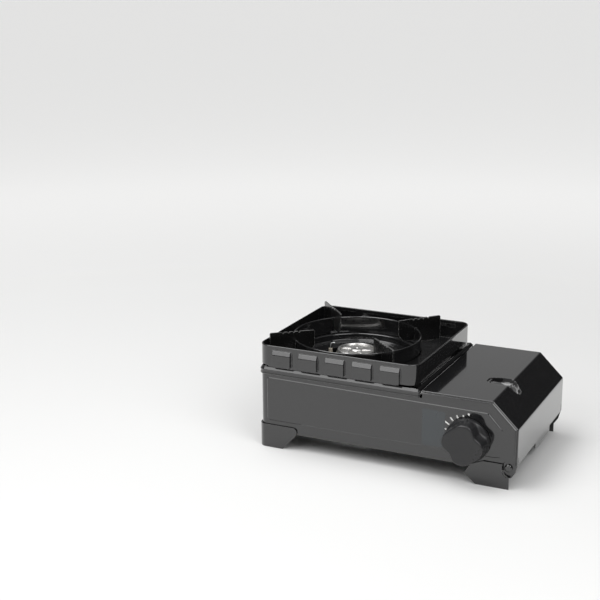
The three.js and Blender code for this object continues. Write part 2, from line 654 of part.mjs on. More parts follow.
function windshield() {
  const { left, right, front, rear, base, top } = SHIELD;
  const outer = fromPlan(rectangle(left, right, front, rear, SHIELD_CORNER), base, top);
  const inner = rectangle(left + SHEET, right - SHEET, front + SHEET, rear - SHEET, SHIELD_CORNER - 1);
  let shield = outer.subtract(fromPlan(inner, base - 1, top + 1));
  const rows = [
    { angle: 0, y: front, depth: LOUVRE.depth },
    { angle: 180, y: rear, depth: LOUVRE.rearDepth },
  ];
  const wallBehind = box(-20, 20, SHEET - 0.1, 5, 80, 120);
  for (const { angle, y, depth } of rows) {
    const skin = louvrePress(0, depth).subtract(wallBehind);
    const hollow = louvrePress(SHEET, depth);
    for (let i = 0; i < LOUVRE.count; i += 1) {
      const x = LOUVRE.firstX + LOUVRE.pitch * i;
      const place = (solid) => solid.rotate([0, 0, angle]).translate([x, y, 0]);
      shield = shield.add(place(skin)).subtract(place(hollow));
    }
  }
  const leftSlot = box(left - 1, left + 12, front - 1, front + 12, base - 1, base + 1.8);
  const rightSlot = box(right - 22, right + 1, front - 1, front + 4, base - 1, base + 1.8);
  return shield.subtract(leftSlot).subtract(rightSlot);
}
addPart('windshield', windshield(), BLACK_STEEL);

const BASE_Z = { low: SHIELD.base + 2.1, high: SHIELD.base + 3.1 };

function windshieldBase() {
  const { left, right, front, rear } = SHIELD;
  const inset = SHEET + GAP;
  const [x0, x1] = [left + inset, right - inset];
  const shape = rectangle(x0, x1, front + inset, rear - inset, SHIELD_CORNER - 2);
  const plate = fromPlan(shape, BASE_Z.low, BASE_Z.high);
  return plate.subtract(turnedUp(disc(RING_R + 0.6, 90, 96), BURNER.x, BURNER.y, 48));
}
addPart('windshield_base', windshieldBase(), BLACK_STEEL);

function windbreakRing() {
  const profile = [
    [RING_R - SHEET, PLATE_Z + 1.6], [RING_R, PLATE_Z + 1.6], [RING_R, RING_TOP - 1.6],
    [RING_R + 0.9, RING_TOP - 1], [RING_R + 0.4, RING_TOP], [RING_R - SHEET, RING_TOP],
    [RING_R - SHEET, PLATE_Z + 1.6],
  ];
  return turnedUp(profile, BURNER.x, BURNER.y, 48);
}
addPart('windbreak_ring', windbreakRing(), BLACK_STEEL);

// Each pot support is an upright plate on a diagonal, notched over the ring, with teeth on top.
function potSupport(angle) {
  const { inner, outer, thick } = BLADE;
  const low = BASE_Z.high + GAP;
  const notch = { r0: RING_R - SHEET - 0.4, r1: RING_R + 1.3, top: RING_TOP + 0.4 };
  const top = (r) => HEIGHT - 1.6 * (outer - r) / (outer - inner);
  const tooth = (r) => [
    [r - 2.6, top(r) - 0.3], [r - 1, top(r) + 0.5], [r + 1, top(r) + 0.5], [r + 2.6, top(r) - 0.3],
  ];
  const shape = outline([
    [inner, top(inner), 1], [inner, 104], [55, 96.4, 2], [notch.r0, 96.4], [notch.r0, notch.top],
    [notch.r1, notch.top], [notch.r1, low], [outer, low], [outer, HEIGHT, 1],
    ...tooth(82).reverse(), ...tooth(76).reverse(), ...tooth(70).reverse(),
  ]);
  return fromFront(shape, -thick / 2, thick / 2, 3)
    .rotate([0, 0, angle])
    .translate([BURNER.x, BURNER.y, 0]);
}
const SUPPORTS = { front_left: -135, front_right: -45, rear_right: 45, rear_left: 135 };
for (const [corner, angle] of Object.entries(SUPPORTS)) {
  addPart(`pot_support_${corner}`, potSupport(angle), BLACK_STEEL);
}

const trayProfile = [
  [36.2, 82], [60, 82], [64.4, 84],
  [64.4, PLATE_Z + 0.4], [68.4, PLATE_Z + 0.4], [68.4, PLATE_Z + 1.3],
  [63.5, PLATE_Z + 1.3], [63.5, 84.8], [59.5, 83], [37.2, 83], [37.2, 86], [36.2, 86], [36.2, 82],
];
addPart('drip_tray', turnedUp(trayProfile, BURNER.x, BURNER.y, 40), BLACK_STEEL);

// ---------------------------------------------------------------- fasteners under the floor
const SCREW = { headR: 3.2, headLow: FLOOR_Z - 2.2 };
const SCREWS = {
  front_left: [-126, -62], rear_left: [-126, 82], front_right: [118, -66], rear_right: [118, 85],
};

for (const [corner, [x, y]] of Object.entries(SCREWS)) {
  const profile = [
    [0, SCREW.headLow], [SCREW.headR - 0.8, SCREW.headLow], [SCREW.headR, SCREW.headLow + 0.8],
    [SCREW.headR, FLOOR_Z - 0.2], [0, FLOOR_Z - 0.2],
  ];
  addPart(`floor_screw_${corner}`, turnedUp(profile, x, y, 16), ZINC_STEEL);
}

export default stove;
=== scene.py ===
# %% [markdown]
# # A camping stove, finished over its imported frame
# The stove is a low sheet-steel box with a burner inside a square windshield on the left and a
# gas compartment under a hinged cover on the right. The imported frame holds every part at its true
# size. Each piece made here takes its place from that frame and gives one part its finish: thin
# sheet with rounded bends, pressed louvres, rolled rims and glossy baked enamel.

# %% Load the frame
import json
import math

import bmesh
import bpy
from mathutils import Matrix, Vector
from mathutils.geometry import tessellate_polygon


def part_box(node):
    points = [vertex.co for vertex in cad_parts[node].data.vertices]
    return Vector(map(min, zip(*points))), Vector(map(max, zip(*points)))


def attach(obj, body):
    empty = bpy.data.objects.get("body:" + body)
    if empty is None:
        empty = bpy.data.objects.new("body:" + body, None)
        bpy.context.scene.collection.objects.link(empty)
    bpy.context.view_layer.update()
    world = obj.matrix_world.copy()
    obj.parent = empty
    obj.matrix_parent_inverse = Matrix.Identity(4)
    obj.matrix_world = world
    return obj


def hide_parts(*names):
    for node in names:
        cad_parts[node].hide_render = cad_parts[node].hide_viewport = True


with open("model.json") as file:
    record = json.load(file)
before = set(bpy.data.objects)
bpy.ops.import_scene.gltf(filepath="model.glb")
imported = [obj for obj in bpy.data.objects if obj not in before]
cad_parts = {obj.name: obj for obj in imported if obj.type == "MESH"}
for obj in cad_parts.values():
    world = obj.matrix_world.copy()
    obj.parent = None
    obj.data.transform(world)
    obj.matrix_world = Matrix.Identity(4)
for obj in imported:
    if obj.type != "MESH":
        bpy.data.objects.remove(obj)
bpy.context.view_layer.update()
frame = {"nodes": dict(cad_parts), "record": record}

MM = 0.001


def linked(name, data):
    """A new object in the scene."""
    made = bpy.data.objects.new(name, data)
    bpy.context.scene.collection.objects.link(made)
    return made


def box_mm(node):
    """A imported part's lowest and highest corner, in millimetres."""
    return [[v / MM for v in corner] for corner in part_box(node)]


# %% [markdown]
# ## Camera
# The view is from the front right, a little above. A long lens keeps the box edges nearly
# parallel. The camera's place is worked out from a heading, a height angle and two side steps, so
# each of them can be changed on its own. There is no lens shift and no depth of field.

# %% Camera
HEADING, RISE, LEAN = math.radians(25.96), math.radians(15.44), math.radians(-0.34)
DISTANCE, STEP_RIGHT, STEP_UP = 1.3328, -0.1176, 0.15396

back = Vector((math.sin(HEADING) * math.cos(RISE), -math.cos(HEADING) * math.cos(RISE), math.sin(RISE)))
level = Vector((math.cos(HEADING), math.sin(HEADING), 0))
upright = back.cross(level)
right = level * math.cos(LEAN) + upright * math.sin(LEAN)
up = upright * math.cos(LEAN) - level * math.sin(LEAN)

lens = bpy.data.cameras.new("camera")
lens.sensor_width = 36
lens.lens = 73.47
lens.clip_start, lens.clip_end = 0.01, 100
camera = linked("camera", lens)
place = back * DISTANCE + right * STEP_RIGHT + up * STEP_UP
camera.matrix_world = Matrix.Translation(place) @ Matrix((right, up, back)).transposed().to_4x4()
bpy.context.scene.camera = camera
bpy.context.scene.view_settings.view_transform = "Standard"
print("camera at", [round(v, 3) for v in place])

# %% [markdown]
# ## Node helpers
# Every finish and every repeating rule is a small node tree. Short helpers make a node with its
# values set and its inputs joined, so that each tree reads as a list of steps.

# %% Node helpers
def put(tree, kind, values=(), **settings):
    """A new node of that kind. values are (input, value or socket) pairs."""
    made = tree.nodes.new(kind)
    for name, value in settings.items():
        setattr(made, name, value)
    for key, value in dict(values).items():
        if isinstance(value, bpy.types.NodeSocket):
            tree.links.new(value, made.inputs[key])
        else:
            made.inputs[key].default_value = value
    return made


def sums(tree, operation, a, b=0.0, **more):
    return put(tree, "ShaderNodeMath", {0: a, 1: b}, operation=operation, **more).outputs[0]


def ramp(tree, value, low, high, start=0.0, end=1.0, kind="LINEAR"):
    """A value moved from the range low to high into the range start to end."""
    return put(tree, "ShaderNodeMapRange", {
        "Value": value, "From Min": low, "From Max": high, "To Min": start, "To Max": end},
        interpolation_type=kind).outputs[0]


def eased(tree, value, low, high, start=0.0, end=1.0):
    return ramp(tree, value, low, high, start, end, "SMOOTHSTEP")


def noise(tree, point, scale, detail, roughness=0.5):
    return put(tree, "ShaderNodeTexNoise", {
        "Vector": point, "Scale": scale, "Detail": detail, "Roughness": roughness}).outputs[0]


def blend(tree, share, base, over):
    return put(tree, "ShaderNodeMix", {"Factor": share, 6: base, 7: over}, data_type="RGBA").outputs[2]


def new_group(name, kind, inputs, outputs):
    """A node group. A socket's type follows from its label or from its default value."""
    by_label = {"Geometry": "NodeSocketGeometry", "Pattern": "NodeSocketObject",
                "Finish": "NodeSocketMaterial"}
    by_type = {float: "NodeSocketFloat", int: "NodeSocketInt", tuple: "NodeSocketVector"}
    tree = bpy.data.node_groups.new(name, kind)
    for label, default in inputs.items():
        socket = by_label.get(label) or by_type[type(default)]
        made = tree.interface.new_socket(label, in_out="INPUT", socket_type=socket)
        if default is not None:
            made.default_value = default
    for label in outputs:
        tree.interface.new_socket(label, in_out="OUTPUT", socket_type=by_label.get(label, "NodeSocketFloat"))
    return tree, tree.nodes.new("NodeGroupInput").outputs, tree.nodes.new("NodeGroupOutput").inputs


# %% [markdown]
# ## Shared surface effects
# Real sheet and castings are never even. Three effects are used by most finishes here. Grain is
# fine noise for orange peel, casting skin or moulded texture. Wear is a mask along outer edges,
# where paint is thin; its lighter colour is partly wear and partly a painted highlight. Dust is a
# mask on faces that look up. Each is a shader group, built once, that puts out only masks and heights.

# %% Grain group
grain_tree, into, out = new_group(
    "grain", "ShaderNodeTree", {"Size per metre": 900.0, "Stretch": (1, 1, 1)}, ["Height", "Patches"])
spot = put(grain_tree, "ShaderNodeTexCoord").outputs["Object"]
drawn = put(grain_tree, "ShaderNodeVectorMath", {0: spot, 1: into["Stretch"]}, operation="MULTIPLY").outputs[0]
grain_tree.links.new(noise(grain_tree, drawn, into["Size per metre"], 3.0), out["Height"])
grain_tree.links.new(noise(grain_tree, spot, 28.0, 4.0, 0.6), out["Patches"])

# %% Edge wear and painted highlight group
wear_and_highlight_tree, into, out = new_group("edge wear and painted highlight", "ShaderNodeTree", {"Width": 0.0006, "Amount": 1.0}, ["Mask"])
rounded_normal = put(wear_and_highlight_tree, "ShaderNodeBevel", {"Radius": into["Width"]}, samples=4).outputs[0]
true_normal = put(wear_and_highlight_tree, "ShaderNodeNewGeometry").outputs["True Normal"]
agree = put(wear_and_highlight_tree, "ShaderNodeVectorMath", {0: rounded_normal, 1: true_normal}, operation="DOT_PRODUCT")
turned_away = ramp(wear_and_highlight_tree, agree.outputs["Value"], 0.985, 0.80)
spot = put(wear_and_highlight_tree, "ShaderNodeTexCoord").outputs["Object"]
uneven = ramp(wear_and_highlight_tree, noise(wear_and_highlight_tree, spot, 160.0, 3.0), 0.35, 0.65, 0.35, 1.0)
patchy = sums(wear_and_highlight_tree, "MULTIPLY", turned_away, uneven)
wear_and_highlight_tree.links.new(sums(wear_and_highlight_tree, "MULTIPLY", patchy, into["Amount"], use_clamp=True), out["Mask"])

# %% Dust group
dust_tree, into, out = new_group("dust", "ShaderNodeTree", {"Amount": 0.3}, ["Mask"])
spot = put(dust_tree, "ShaderNodeTexCoord").outputs["Object"]
facing = put(dust_tree, "ShaderNodeNewGeometry").outputs["Normal"]
skyward = put(dust_tree, "ShaderNodeSeparateXYZ", {0: facing}).outputs["Z"]
settled = ramp(dust_tree, skyward, 0.5, 1.0)
sparse = ramp(dust_tree, noise(dust_tree, spot, 1400.0, 2.0), 0.66, 0.8)
lying = sums(dust_tree, "MULTIPLY", settled, sparse)
dust_tree.links.new(sums(dust_tree, "MULTIPLY", lying, into["Amount"], use_clamp=True), out["Mask"])
print("shared groups:", [g.name for g in bpy.data.node_groups])


# %% [markdown]
# ## Finishes
# One function makes every finish: a Principled surface whose colour shifts towards a worn colour
# along edges, partly wear and partly a painted highlight, and a dust colour on top, whose roughness
# varies in patches, and whose grain is a fine bump. What is the same all over, such as the clear
# coat or the metal, is set on the shader's own sockets.

# %% The finish maker
DUST_COLOUR = (0.42, 0.41, 0.39, 1)
DRIFT = 0.18


def finish(name, colour, worn_and_highlight, rough, grain=900.0, bump=0.00002, wear=0.6, wear_width=0.0006,
           dust=0.2, spread=0.08, metal=0.0, stretch=(1, 1, 1), **surface):
    """A material. surface sets more of the shader's sockets, with _ for each space in a label."""
    made = bpy.data.materials.new(name)
    made.use_nodes = True
    tree = made.node_tree
    shader = tree.nodes["Principled BSDF"]
    skin = put(tree, "ShaderNodeGroup", {"Size per metre": grain, "Stretch": stretch}, node_tree=grain_tree)
    edge = put(tree, "ShaderNodeGroup", {"Width": wear_width, "Amount": wear}, node_tree=wear_and_highlight_tree)
    fallen = put(tree, "ShaderNodeGroup", {"Amount": dust}, node_tree=dust_tree)
    patches = skin.outputs["Patches"]
    darker, lighter = [(*[min(1, c * k) for c in colour], 1) for k in (1 - DRIFT, 1 + DRIFT)]
    shade = blend(tree, patches, darker, lighter)
    # Lighter colour along the edges: partly wear, partly painted highlight.
    rubbed_and_highlit = blend(tree, edge.outputs["Mask"], shade, (*worn_and_highlight, 1))
    dusty = blend(tree, fallen.outputs["Mask"], rubbed_and_highlit, DUST_COLOUR)
    dull = ramp(tree, patches, 0.3, 0.7, max(0.01, rough - spread), min(1.0, rough + spread))
    relief = put(tree, "ShaderNodeBump", {"Height": skin.outputs["Height"], "Strength": 1.0, "Distance": bump})
    for label, socket in {"Base Color": dusty, "Roughness": dull, "Normal": relief.outputs[0]}.items():
        tree.links.new(socket, shader.inputs[label])
    for label, value in {"Metallic": metal, **surface}.items():
        shader.inputs[label.replace("_", " ")].default_value = value
    return made


# %% [markdown]
# Baked enamel is a black layer under a hard clear gloss: the base is slightly hazy and the coat is
# nearly a mirror. Porcelain enamel on the pot supports is rougher, and its edges are painted grey,
# partly as wear from heat and pans and partly as a painted highlight. The metals differ in colour,
# grain direction and roughness.

# %% Painted and enamelled finishes
enamel = finish("black baked enamel", (0.010, 0.010, 0.0105), (0.10, 0.10, 0.10), 0.12, grain=420,
                bump=0.0000015, wear=0.5, dust=0.03, spread=0.03, Coat_Weight=1.0, Coat_Roughness=0.035,
                Coat_IOR=1.5, IOR=1.5)
# Grey edges on the pot supports: partly wear, partly painted highlight.
porcelain = finish("black porcelain enamel", (0.006, 0.006, 0.006), (0.34, 0.34, 0.33), 0.26, grain=700,
                   bump=0.000006, wear=1.0, wear_width=0.0007, dust=0.08, Coat_Weight=0.6,
                   Coat_Roughness=0.12)
film = finish("clear film on enamel", (0.014, 0.021, 0.026), (0.05, 0.05, 0.05), 0.22, grain=300,
              bump=0.000003, wear=0.0, dust=0.0, Coat_Weight=1.0, Coat_Roughness=0.06)
ink = finish("white printed ink", (0.82, 0.82, 0.80), (0.82, 0.82, 0.80), 0.45, grain=2500,
             bump=0.000003, wear=0.0, dust=0.0)

# %% Plastic, ceramic and rubber finishes
knob_plastic = finish("satin knob plastic", (0.017, 0.017, 0.018), (0.07, 0.07, 0.07), 0.34, grain=2600,
                      bump=0.00001, wear=0.5, dust=0.08)
matt_plastic = finish("matt black plastic", (0.02, 0.02, 0.02), (0.06, 0.06, 0.06), 0.55, grain=2200,
                      bump=0.00002, wear=0.3)
# The igniter's white ceramic is given a dark brown grey: painted shade.
glazed = finish("shade-darkened glazed ceramic", (0.30, 0.27, 0.22), (0.42, 0.38, 0.32), 0.28, grain=600,
                bump=0.000008, wear=0.2, dust=0.0)
silicone = finish("dark red silicone", (0.30, 0.028, 0.018), (0.36, 0.08, 0.06), 0.5, grain=1800,
                  bump=0.00001, wear=0.1)

# %% Metal finishes
zinc = finish("zinc-plated steel", (0.56, 0.57, 0.57), (0.75, 0.75, 0.74), 0.34, grain=500,
              bump=0.000012, wear=0.4, metal=1.0)
aluminium = finish("rolled aluminium sheet", (0.76, 0.77, 0.77), (0.88, 0.88, 0.88), 0.38, grain=900,
                   bump=0.00001, wear=0.3, metal=1.0, stretch=(1, 12, 1))
cast = finish("machined aluminium casting", (0.80, 0.79, 0.77), (0.92, 0.91, 0.90), 0.36, grain=1500,
              bump=0.00002, wear=0.5, metal=1.0)
die_cast = finish("grey die-cast alloy", (0.50, 0.50, 0.51), (0.68, 0.68, 0.68), 0.48, grain=1100,
                  bump=0.00005, wear=0.5, metal=1.0)
brass = finish("turned brass", (0.72, 0.53, 0.24), (0.86, 0.68, 0.38), 0.28, grain=1400,
               bump=0.000008, wear=0.4, metal=1.0, stretch=(1, 8, 1))
burnished = finish("burnished dark steel", (0.10, 0.10, 0.10), (0.55, 0.55, 0.54), 0.30, grain=800,
                   bump=0.00001, wear=0.9, wear_width=0.0005, metal=1.0)
print(len(bpy.data.materials), "materials")


# %% [markdown]
# ## Stage and light
# The stove stands on a pale floor that runs back into a soft grey distance. The floor glows more
# away from the stove, painted light that brightens the far floor. One wide softbox hangs overhead
# to the left, one at the front left lights every edge that is rolled towards the viewer, and one
# fills from the right. The studio's far wall is lit only at the left, and its white ceiling keeps
# the shadows open. Between wall and ceiling the studio is dark, which is what makes the enamel
# look black.

# %% Floor
ground = bmesh.new()
bmesh.ops.create_circle(ground, cap_ends=True, radius=30, segments=64)
floor_mesh = bpy.data.meshes.new("studio_floor")
ground.to_mesh(floor_mesh)
ground.free()
paper = bpy.data.materials.new("pale paper with painted glow")
paper.use_nodes = True
tree = paper.node_tree
shader = tree.nodes["Principled BSDF"]
for label, value in {"Base Color": (0.80, 0.80, 0.795, 1), "Roughness": 0.7, "Specular IOR Level": 0.2,
                     "Emission Color": (1, 0.998, 0.992, 1)}.items():
    shader.inputs[label].default_value = value
spot = put(tree, "ShaderNodeTexCoord").outputs["Object"]
shifted = put(tree, "ShaderNodeVectorMath", {0: spot, 1: (0.0, 0.35, 0.0)}, operation="ADD").outputs[0]
reach = put(tree, "ShaderNodeVectorMath", {0: shifted}, operation="LENGTH").outputs["Value"]
# Painted light: the floor glows, not at all near the stove and up to 0.44 far from it, which brightens the far
# floor.
tree.links.new(eased(tree, reach, 0.40, 2.0, 0.0, 0.44), shader.inputs["Emission Strength"])
floor_mesh.materials.append(paper)
linked("studio_floor", floor_mesh)


# %% Softboxes
def softbox(name, place, aim, width, height, power):
    lamp = bpy.data.lights.new(name, "AREA")
    lamp.shape, lamp.size, lamp.size_y, lamp.energy = "RECTANGLE", width, height, power
    holder = linked(name, lamp)
    towards = (Vector(aim) - Vector(place)).to_track_quat("-Z", "Y").to_matrix().to_4x4()
    holder.matrix_world = Matrix.Translation(place) @ towards
    holder.visible_camera = False


softbox("overhead", (-0.42, -0.15, 1.2), (0, 0, 0), 0.95, 0.75, 7.6)
softbox("front_left", (-0.55, -1.00, 0.95), (0, 0, 0.08), 1.2, 0.55, 5.5)
softbox("fill", (0.9, -0.6, 1.0), (0, 0, 0.05), 0.9, 0.9, 8.6)

# %% Sky of the studio
world = bpy.data.worlds.new("studio")
bpy.context.scene.world = world
world.use_nodes = True
tree = world.node_tree
direction = put(tree, "ShaderNodeTexCoord").outputs["Generated"]
aimed = put(tree, "ShaderNodeSeparateXYZ", {0: direction}).outputs
low_band = eased(tree, aimed["Z"], 0.36, 0.48, 1.0, 0.0)
left_side = eased(tree, aimed["X"], -0.14, 0.22, 0.30, 0.0)
ceiling = eased(tree, aimed["Z"], 0.68, 0.90, 0.02, 1.0)
glow = sums(tree, "ADD", sums(tree, "MULTIPLY", low_band, left_side), ceiling)
tree.links.new(glow, tree.nodes["Background"].inputs["Strength"])
tree.nodes["Background"].inputs["Color"].default_value = (1, 1, 1, 1)


# %% [markdown]
# ## Shaping helpers
# Sheet metal is an outline with a thickness, so most pieces come from a path and a cross-section.
# Sizes are in millimetres. Corners are given with their bend radius and become short arcs. A path
# is offset sideways along its mitre, which keeps the sheet's thickness round a bend.

# %% Paths with rounded corners
def rounded(corners, closed=True, steps=5):
    """Points along a path of (u, v) or (u, v, radius) corners."""
    points = []
    for i, corner in enumerate(corners):
        here = Vector(corner[:2])
        radius = corner[2] if len(corner) > 2 else 0
        if radius == 0 or (not closed and i in (0, len(corners) - 1)):
            points.append(here)
            continue
        before = (Vector(corners[i - 1][:2]) - here).normalized()
        after = (Vector(corners[(i + 1) % len(corners)][:2]) - here).normalized()
        half = before.angle(after) / 2
        centre = here + (before + after).normalized() * (radius / math.sin(half))
        start = here + before * (radius / math.tan(half)) - centre
        sweep = (math.pi - 2 * half) * (1 if before.x * after.y - before.y * after.x < 0 else -1)
        points += [centre + Matrix.Rotation(sweep * k / steps, 2) @ start for k in range(steps + 1)]
    return points


def arc(u, v, radius, first, last, steps):
    """Points on a circle between two angles in degrees."""
    turn = [math.radians(first + (last - first) * k / steps) for k in range(steps + 1)]
    return [(u + radius * math.cos(a), v + radius * math.sin(a)) for a in turn]


def mitres(points, closed=True):
    """For each point, the direction that offsets the path to the right of its travel."""
    count, result = len(points), []
    for i, here in enumerate(points):
        first = here - points[i - 1] if closed or i > 0 else points[1] - here
        last = points[(i + 1) % count] - here if closed or i < count - 1 else here - points[i - 1]
        a = Vector((first.y, -first.x)).normalized()
        b = Vector((last.y, -last.x)).normalized()
        result.append((a + b) / (1 + a.dot(b)))
    return result


# %% Meshes from points and rings
MERGE = 1e-4
SLIVER = 1e-9
BURNER_X, BURNER_Y = [sum(c) / 2 / MM for c in list(zip(*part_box("windbreak_ring")))[:2]]


def to_object(name, bm, material, smooth=True):
    """An object from a bmesh in millimetres."""
    bmesh.ops.remove_doubles(bm, verts=bm.verts, dist=MERGE)
    bmesh.ops.scale(bm, vec=(MM, MM, MM), verts=bm.verts)
    for face in bm.faces:
        face.smooth = smooth
    mesh = bpy.data.meshes.new(name)
    bm.to_mesh(mesh)
    bm.free()
    mesh.materials.append(material)
    return linked(name, mesh)


def loft(bm, rings, around=True, along=False, caps=False):
    """Joins rings of points with quads. around closes each ring and along joins the last to the first."""
    rows = [[bm.verts.new(p) for p in ring] for ring in rings]
    size = len(rows[0])
    for k in range(len(rows) if along else len(rows) - 1):
        a, b = rows[k], rows[(k + 1) % len(rows)]
        for i in range(size if around else size - 1):
            j = (i + 1) % size
            bm.faces.new((a[i], a[j], b[j], b[i]))
    if caps:
        bm.faces.new(rows[0][::-1])
        bm.faces.new(rows[-1])
    return rows


def flat_face(bm, place, outer, holes=(), flip=False):
    """A flat face with holes, as triangles. place turns (u, v) into a point."""
    loops = [[Vector((p[0], p[1], 0)) for p in loop] for loop in (outer, *holes)]
    flat = [p for loop in loops for p in loop]
    verts = [bm.verts.new(place(p.x, p.y)) for p in flat]
    for a, b, c in tessellate_polygon(loops):
        area = (flat[b] - flat[a]).cross(flat[c] - flat[a]).z
        if abs(area) < SLIVER:
            continue
        order = (a, b, c) if (area > 0) != flip else (a, c, b)
        bm.faces.new([verts[i] for i in order])


def outward(bm):
    bmesh.ops.remove_doubles(bm, verts=bm.verts, dist=MERGE)
    bmesh.ops.recalc_face_normals(bm, faces=bm.faces)


def closed_loft(name, rings, material, **how):
    """An object from rings of points, with its faces turned outward."""
    bm = bmesh.new()
    loft(bm, rings, **how)
    outward(bm)
    return to_object(name, bm, material)


def turned(profile, segments=96):
    """Rings of a turned shape about the burner's axis. profile is a closed loop of (radius, z)."""
    steps = [2 * math.pi * k / segments for k in range(segments)]
    return [[(BURNER_X + r * math.cos(a), BURNER_Y + r * math.sin(a), z) for r, z in profile] for a in steps]


def spoke(turn, out, side):
    """The point in plan that lies out from the burner's axis at an angle, and off to a side."""
    return (BURNER_X + out * math.cos(turn) - side * math.sin(turn),
            BURNER_Y + out * math.sin(turn) + side * math.cos(turn))


def standing(u, v, w):
    """Places a plate parallel to the front wall."""
    return u, w, v


def cut_plate(bm, place, outer, holes, w0, w1):
    """A plate cut from sheet, between two depths. place turns (u, v, w) into a point."""
    flat_face(bm, lambda u, v: place(u, v, w0), outer, holes, flip=True)
    flat_face(bm, lambda u, v: place(u, v, w1), outer, holes)
    for loop in (outer, *holes):
        loft(bm, [[place(p[0], p[1], w) for p in loop] for w in (w0, w1)])
    outward(bm)


# %% Edges, bodies and slots
def soften(made, width=0.3, angle=38, segments=2):
    """Rounds the edges that are sharper than angle, and keeps flat faces flat to the eye."""
    bevel = made.modifiers.new("rounded edges", "BEVEL")
    bevel.width, bevel.segments = width * MM, segments
    bevel.limit_method, bevel.angle_limit = "ANGLE", math.radians(angle)
    level_faces = made.modifiers.new("level faces", "WEIGHTED_NORMAL")
    level_faces.keep_sharp = True
    return made


def belongs(made, body, slot, *nodes):
    """made rides on a body and stands for the named parts. slot is not used."""
    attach(made, body)
    if nodes:
        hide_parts(*nodes)
    print(made.name, "->", body, len(made.data.polygons), "faces")
    return made


def flattened(made):
    """Keeps the flat faces of a smooth shape flat to the eye."""
    made.modifiers.new("level faces", "WEIGHTED_NORMAL")
    return made


# %% [markdown]
# ## Body shell
# The walls are one strip of 1 mm steel folded round the two left corners. A shallow field is
# pressed out of the front wall, and it is what draws the fine line round the control panel. The
# skin is made flat first, with the pressed step as rings round the field's outline, and a
# Solidify modifier then gives the sheet its thickness.

# %% Shell sizes
SHEET, FIELD_RISE = 1.0, 0.6
shell_low, shell_high = box_mm("body_shell")
FRONT_FACE, REAR_FACE = shell_low[1] + FIELD_RISE, shell_high[1]
LEFT_FACE, RIGHT_END = shell_low[0], shell_high[0]
SHELL_LOW, SHELL_HIGH, CORNER = 18.2, shell_high[2], 8.0
PIVOT_X, WINDOW_Z, WINDOW_R = 133.7, 21.2, 5.8
KNOB_X, KNOB_Z = 91.9, 45.8
plate_low, plate_high = box_mm("top_plate")
PLATE_END = plate_high[0]
print("shell from", FRONT_FACE, "to", REAR_FACE, "left", LEFT_FACE)

# %% Front and rear outlines
hinge_notch = [(PIVOT_X - WINDOW_R, SHELL_LOW), *arc(PIVOT_X, WINDOW_Z + 2.7, WINDOW_R, 180, 12, 10)]
right_edge = [(RIGHT_END, WINDOW_Z + 4.2), (RIGHT_END, 64.8), (115.9, 88.4)]
top_edge = [(PLATE_END + 3, 88.4), (PLATE_END + 3, 81.6), (PLATE_END + 0.2, 81.6),
            (PLATE_END + 0.2, SHELL_HIGH), (LEFT_FACE + CORNER, SHELL_HIGH)]
front_outline = [(LEFT_FACE + CORNER, SHELL_LOW), *hinge_notch, *right_edge, *top_edge]
ARCH_X, ARCH_Z, ARCH_R = 84.0, 54.2, 34.5
half_gap = math.degrees(math.asin(4.5 / ARCH_R))
rear_arch = arc(ARCH_X, ARCH_Z, ARCH_R, 90 - half_gap, -270 + half_gap, 48)
skirt = rounded([(56, SHELL_LOW), (56, 14.2, 3), (112, 14.2, 3), (112, SHELL_LOW)], closed=False)
rear_outline = [(LEFT_FACE + CORNER, SHELL_LOW), *skirt, *hinge_notch, *right_edge, *rear_arch, *top_edge]
field = rounded([(-132.6, 30.4, 3), (118, 30.7, 2), (126.4, 31.8, 2), (127.2, 60.6, 3), (112, 76.6, 3),
                 (-132.6, 79, 3)])
print("front outline", len(front_outline), "points, field", len(field))

# %% Body shell mesh
def body_shell():
    bm = bmesh.new()
    flat_face(bm, lambda u, v: (u, FRONT_FACE, v), front_outline, [field])
    inwards = mitres(field)
    press = [(0, 0), (0.12, 0.02), (0.3, 0.12), (0.75, 0.48), (0.95, 0.58), (1.1, FIELD_RISE)]
    step = [[(p.x - m.x * d, FRONT_FACE - h, p.y - m.y * d) for p, m in zip(field, inwards)] for d, h in press]
    loft(bm, step)
    top_of_field = [(x, z) for x, _, z in step[-1]]
    spindle_hole = arc(KNOB_X, KNOB_Z, 9, 360, 10, 35)
    flat_face(bm, lambda u, v: (u, FRONT_FACE - FIELD_RISE, v), top_of_field, [spindle_hole])
    flat_face(bm, lambda u, v: (u, REAR_FACE, v), rear_outline, flip=True)
    fold = rounded([(LEFT_FACE + CORNER, REAR_FACE), (LEFT_FACE, REAR_FACE, CORNER),
                    (LEFT_FACE, FRONT_FACE, CORNER), (LEFT_FACE + CORNER, FRONT_FACE)], closed=False, steps=10)
    loft(bm, [[(p.x, p.y, z) for p in fold] for z in (SHELL_LOW, SHELL_HIGH)], around=False)
    made = to_object("pressed_body_shell", bm, enamel)
    wall = made.modifiers.new("sheet", "SOLIDIFY")
    wall.thickness, wall.offset, wall.use_even_offset = SHEET * MM, -1, True
    return soften(made, 0.2, 55)


belongs(body_shell(), "stove_body", "black_enamel_steel", "body_shell")

# %% [markdown]
# ## Rings between an outline and a hole
# The top plate and the windshield's base are both an outline with a large round hole. Rings of
# points run from one to the other, so the folded edge and the hole's rim can each be rounded
# without cutting anything.

# %% Plates with a round hole
def plate_rings(outline, steps):
    """Rings inset from an outline, one for each (inset, z)."""
    side = mitres(outline)
    return [[(p.x - m.x * inset, p.y - m.y * inset, z) for p, m in zip(outline, side)] for inset, z in steps]


def round_rings(outline, steps):
    """Round rings about the burner with one point for each point of the outline."""
    away = [Vector((p.x - BURNER_X, p.y - BURNER_Y)).normalized() for p in outline]
    return [[(BURNER_X + d.x * radius, BURNER_Y + d.y * radius, z) for d in away] for radius, z in steps]


